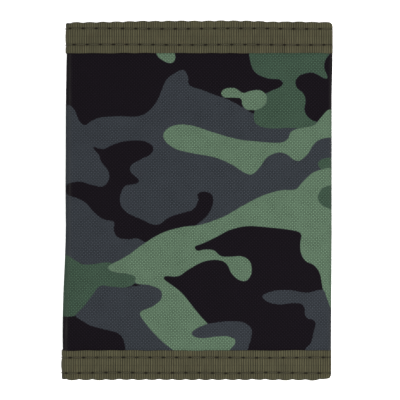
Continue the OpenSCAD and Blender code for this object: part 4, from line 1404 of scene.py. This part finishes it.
class WALLET_OT_studio(bpy.types.Operator):
    """Sets the floor, the lights and the camera"""

    bl_idname = "wallet.studio"
    bl_label = "Studio"

    def execute(self, context):
        bm = bmesh.new()
        bmesh.ops.create_grid(bm, x_segments=2, y_segments=2, size=1.5)
        mesh = bpy.data.meshes.new("floor")
        bm.to_mesh(mesh)
        bm.free()
        mesh.materials.append(plain_floor("pale_floor", (0.92, 0.92, 0.92)))
        floor = bpy.data.objects.new("floor", mesh)
        floor.location.z = -0.0002
        context.scene.collection.objects.link(floor)
        world = bpy.data.worlds.new("soft_room")
        world.use_nodes = True
        world.node_tree.nodes["Background"].inputs[0].default_value = (1, 1, 1, 1)
        world.node_tree.nodes["Background"].inputs[1].default_value = ROOM_LIGHT
        context.scene.world = world
        for name, place, size, power in LAMPS:
            light = bpy.data.lights.new(name, "AREA")
            light.shape, light.size, light.energy = "SQUARE", size, power
            lamp = bpy.data.objects.new(name, light)
            lamp.location = place
            lamp.rotation_euler = (-Vector(place)).to_track_quat("-Z", "Y").to_euler()
            context.scene.collection.objects.link(lamp)
        camera = bpy.data.cameras.new("camera")
        camera.sensor_width = 36
        camera.lens = camera.sensor_width * CAMERA_HEIGHT / VIEW_WIDTH
        camera.clip_start, camera.clip_end = 0.05, 10
        eye = bpy.data.objects.new("camera", camera)
        eye.location = (*CAMERA_PLACE, THICK + CAMERA_HEIGHT)
        context.scene.collection.objects.link(eye)
        context.scene.camera = eye
        context.scene.view_settings.view_transform = "Standard"
        return {"FINISHED"}


class WALLET_PT_build(bpy.types.Panel):
    """Buttons that build the wallet, a kind of piece at a time"""

    bl_label = "Trifold Wallet"
    bl_space_type = "VIEW_3D"
    bl_region_type = "UI"
    bl_category = "Wallet"

    def draw(self, context):
        for group in (context.scene.wallet_sizes, context.scene.wallet_colours):
            for name in group.__annotations__:
                self.layout.prop(group, name)
        for operator in OPERATORS:
            self.layout.operator(operator.bl_idname)


OPERATORS = (WALLET_OT_studio, WALLET_OT_outer_cloth, WALLET_OT_inner_wall, WALLET_OT_binding_tapes,
    WALLET_OT_side_edges, WALLET_OT_card_pockets, WALLET_OT_identity_window, WALLET_OT_fastening,
    WALLET_OT_coin_pocket, WALLET_OT_slider)
CLASSES = (WalletSizes, WalletColours, *OPERATORS, WALLET_PT_build)


def register():
    for made in CLASSES:
        bpy.utils.register_class(made)
    bpy.types.Scene.wallet_sizes = bpy.props.PointerProperty(type=WalletSizes)
    bpy.types.Scene.wallet_colours = bpy.props.PointerProperty(type=WalletColours)


def unregister():
    del bpy.types.Scene.wallet_sizes
    del bpy.types.Scene.wallet_colours
    for made in reversed(CLASSES):
        bpy.utils.unregister_class(made)


def main():
    register()
    bpy.ops.wallet.studio()
    bpy.ops.wallet.outer_cloth()
    bpy.ops.wallet.inner_wall()
    bpy.ops.wallet.binding_tapes()
    bpy.ops.wallet.side_edges()
    bpy.ops.wallet.card_pockets()
    bpy.ops.wallet.identity_window()
    bpy.ops.wallet.fastening()
    bpy.ops.wallet.coin_pocket()
    bpy.ops.wallet.slider()


if __name__ == "__main__":
    main()
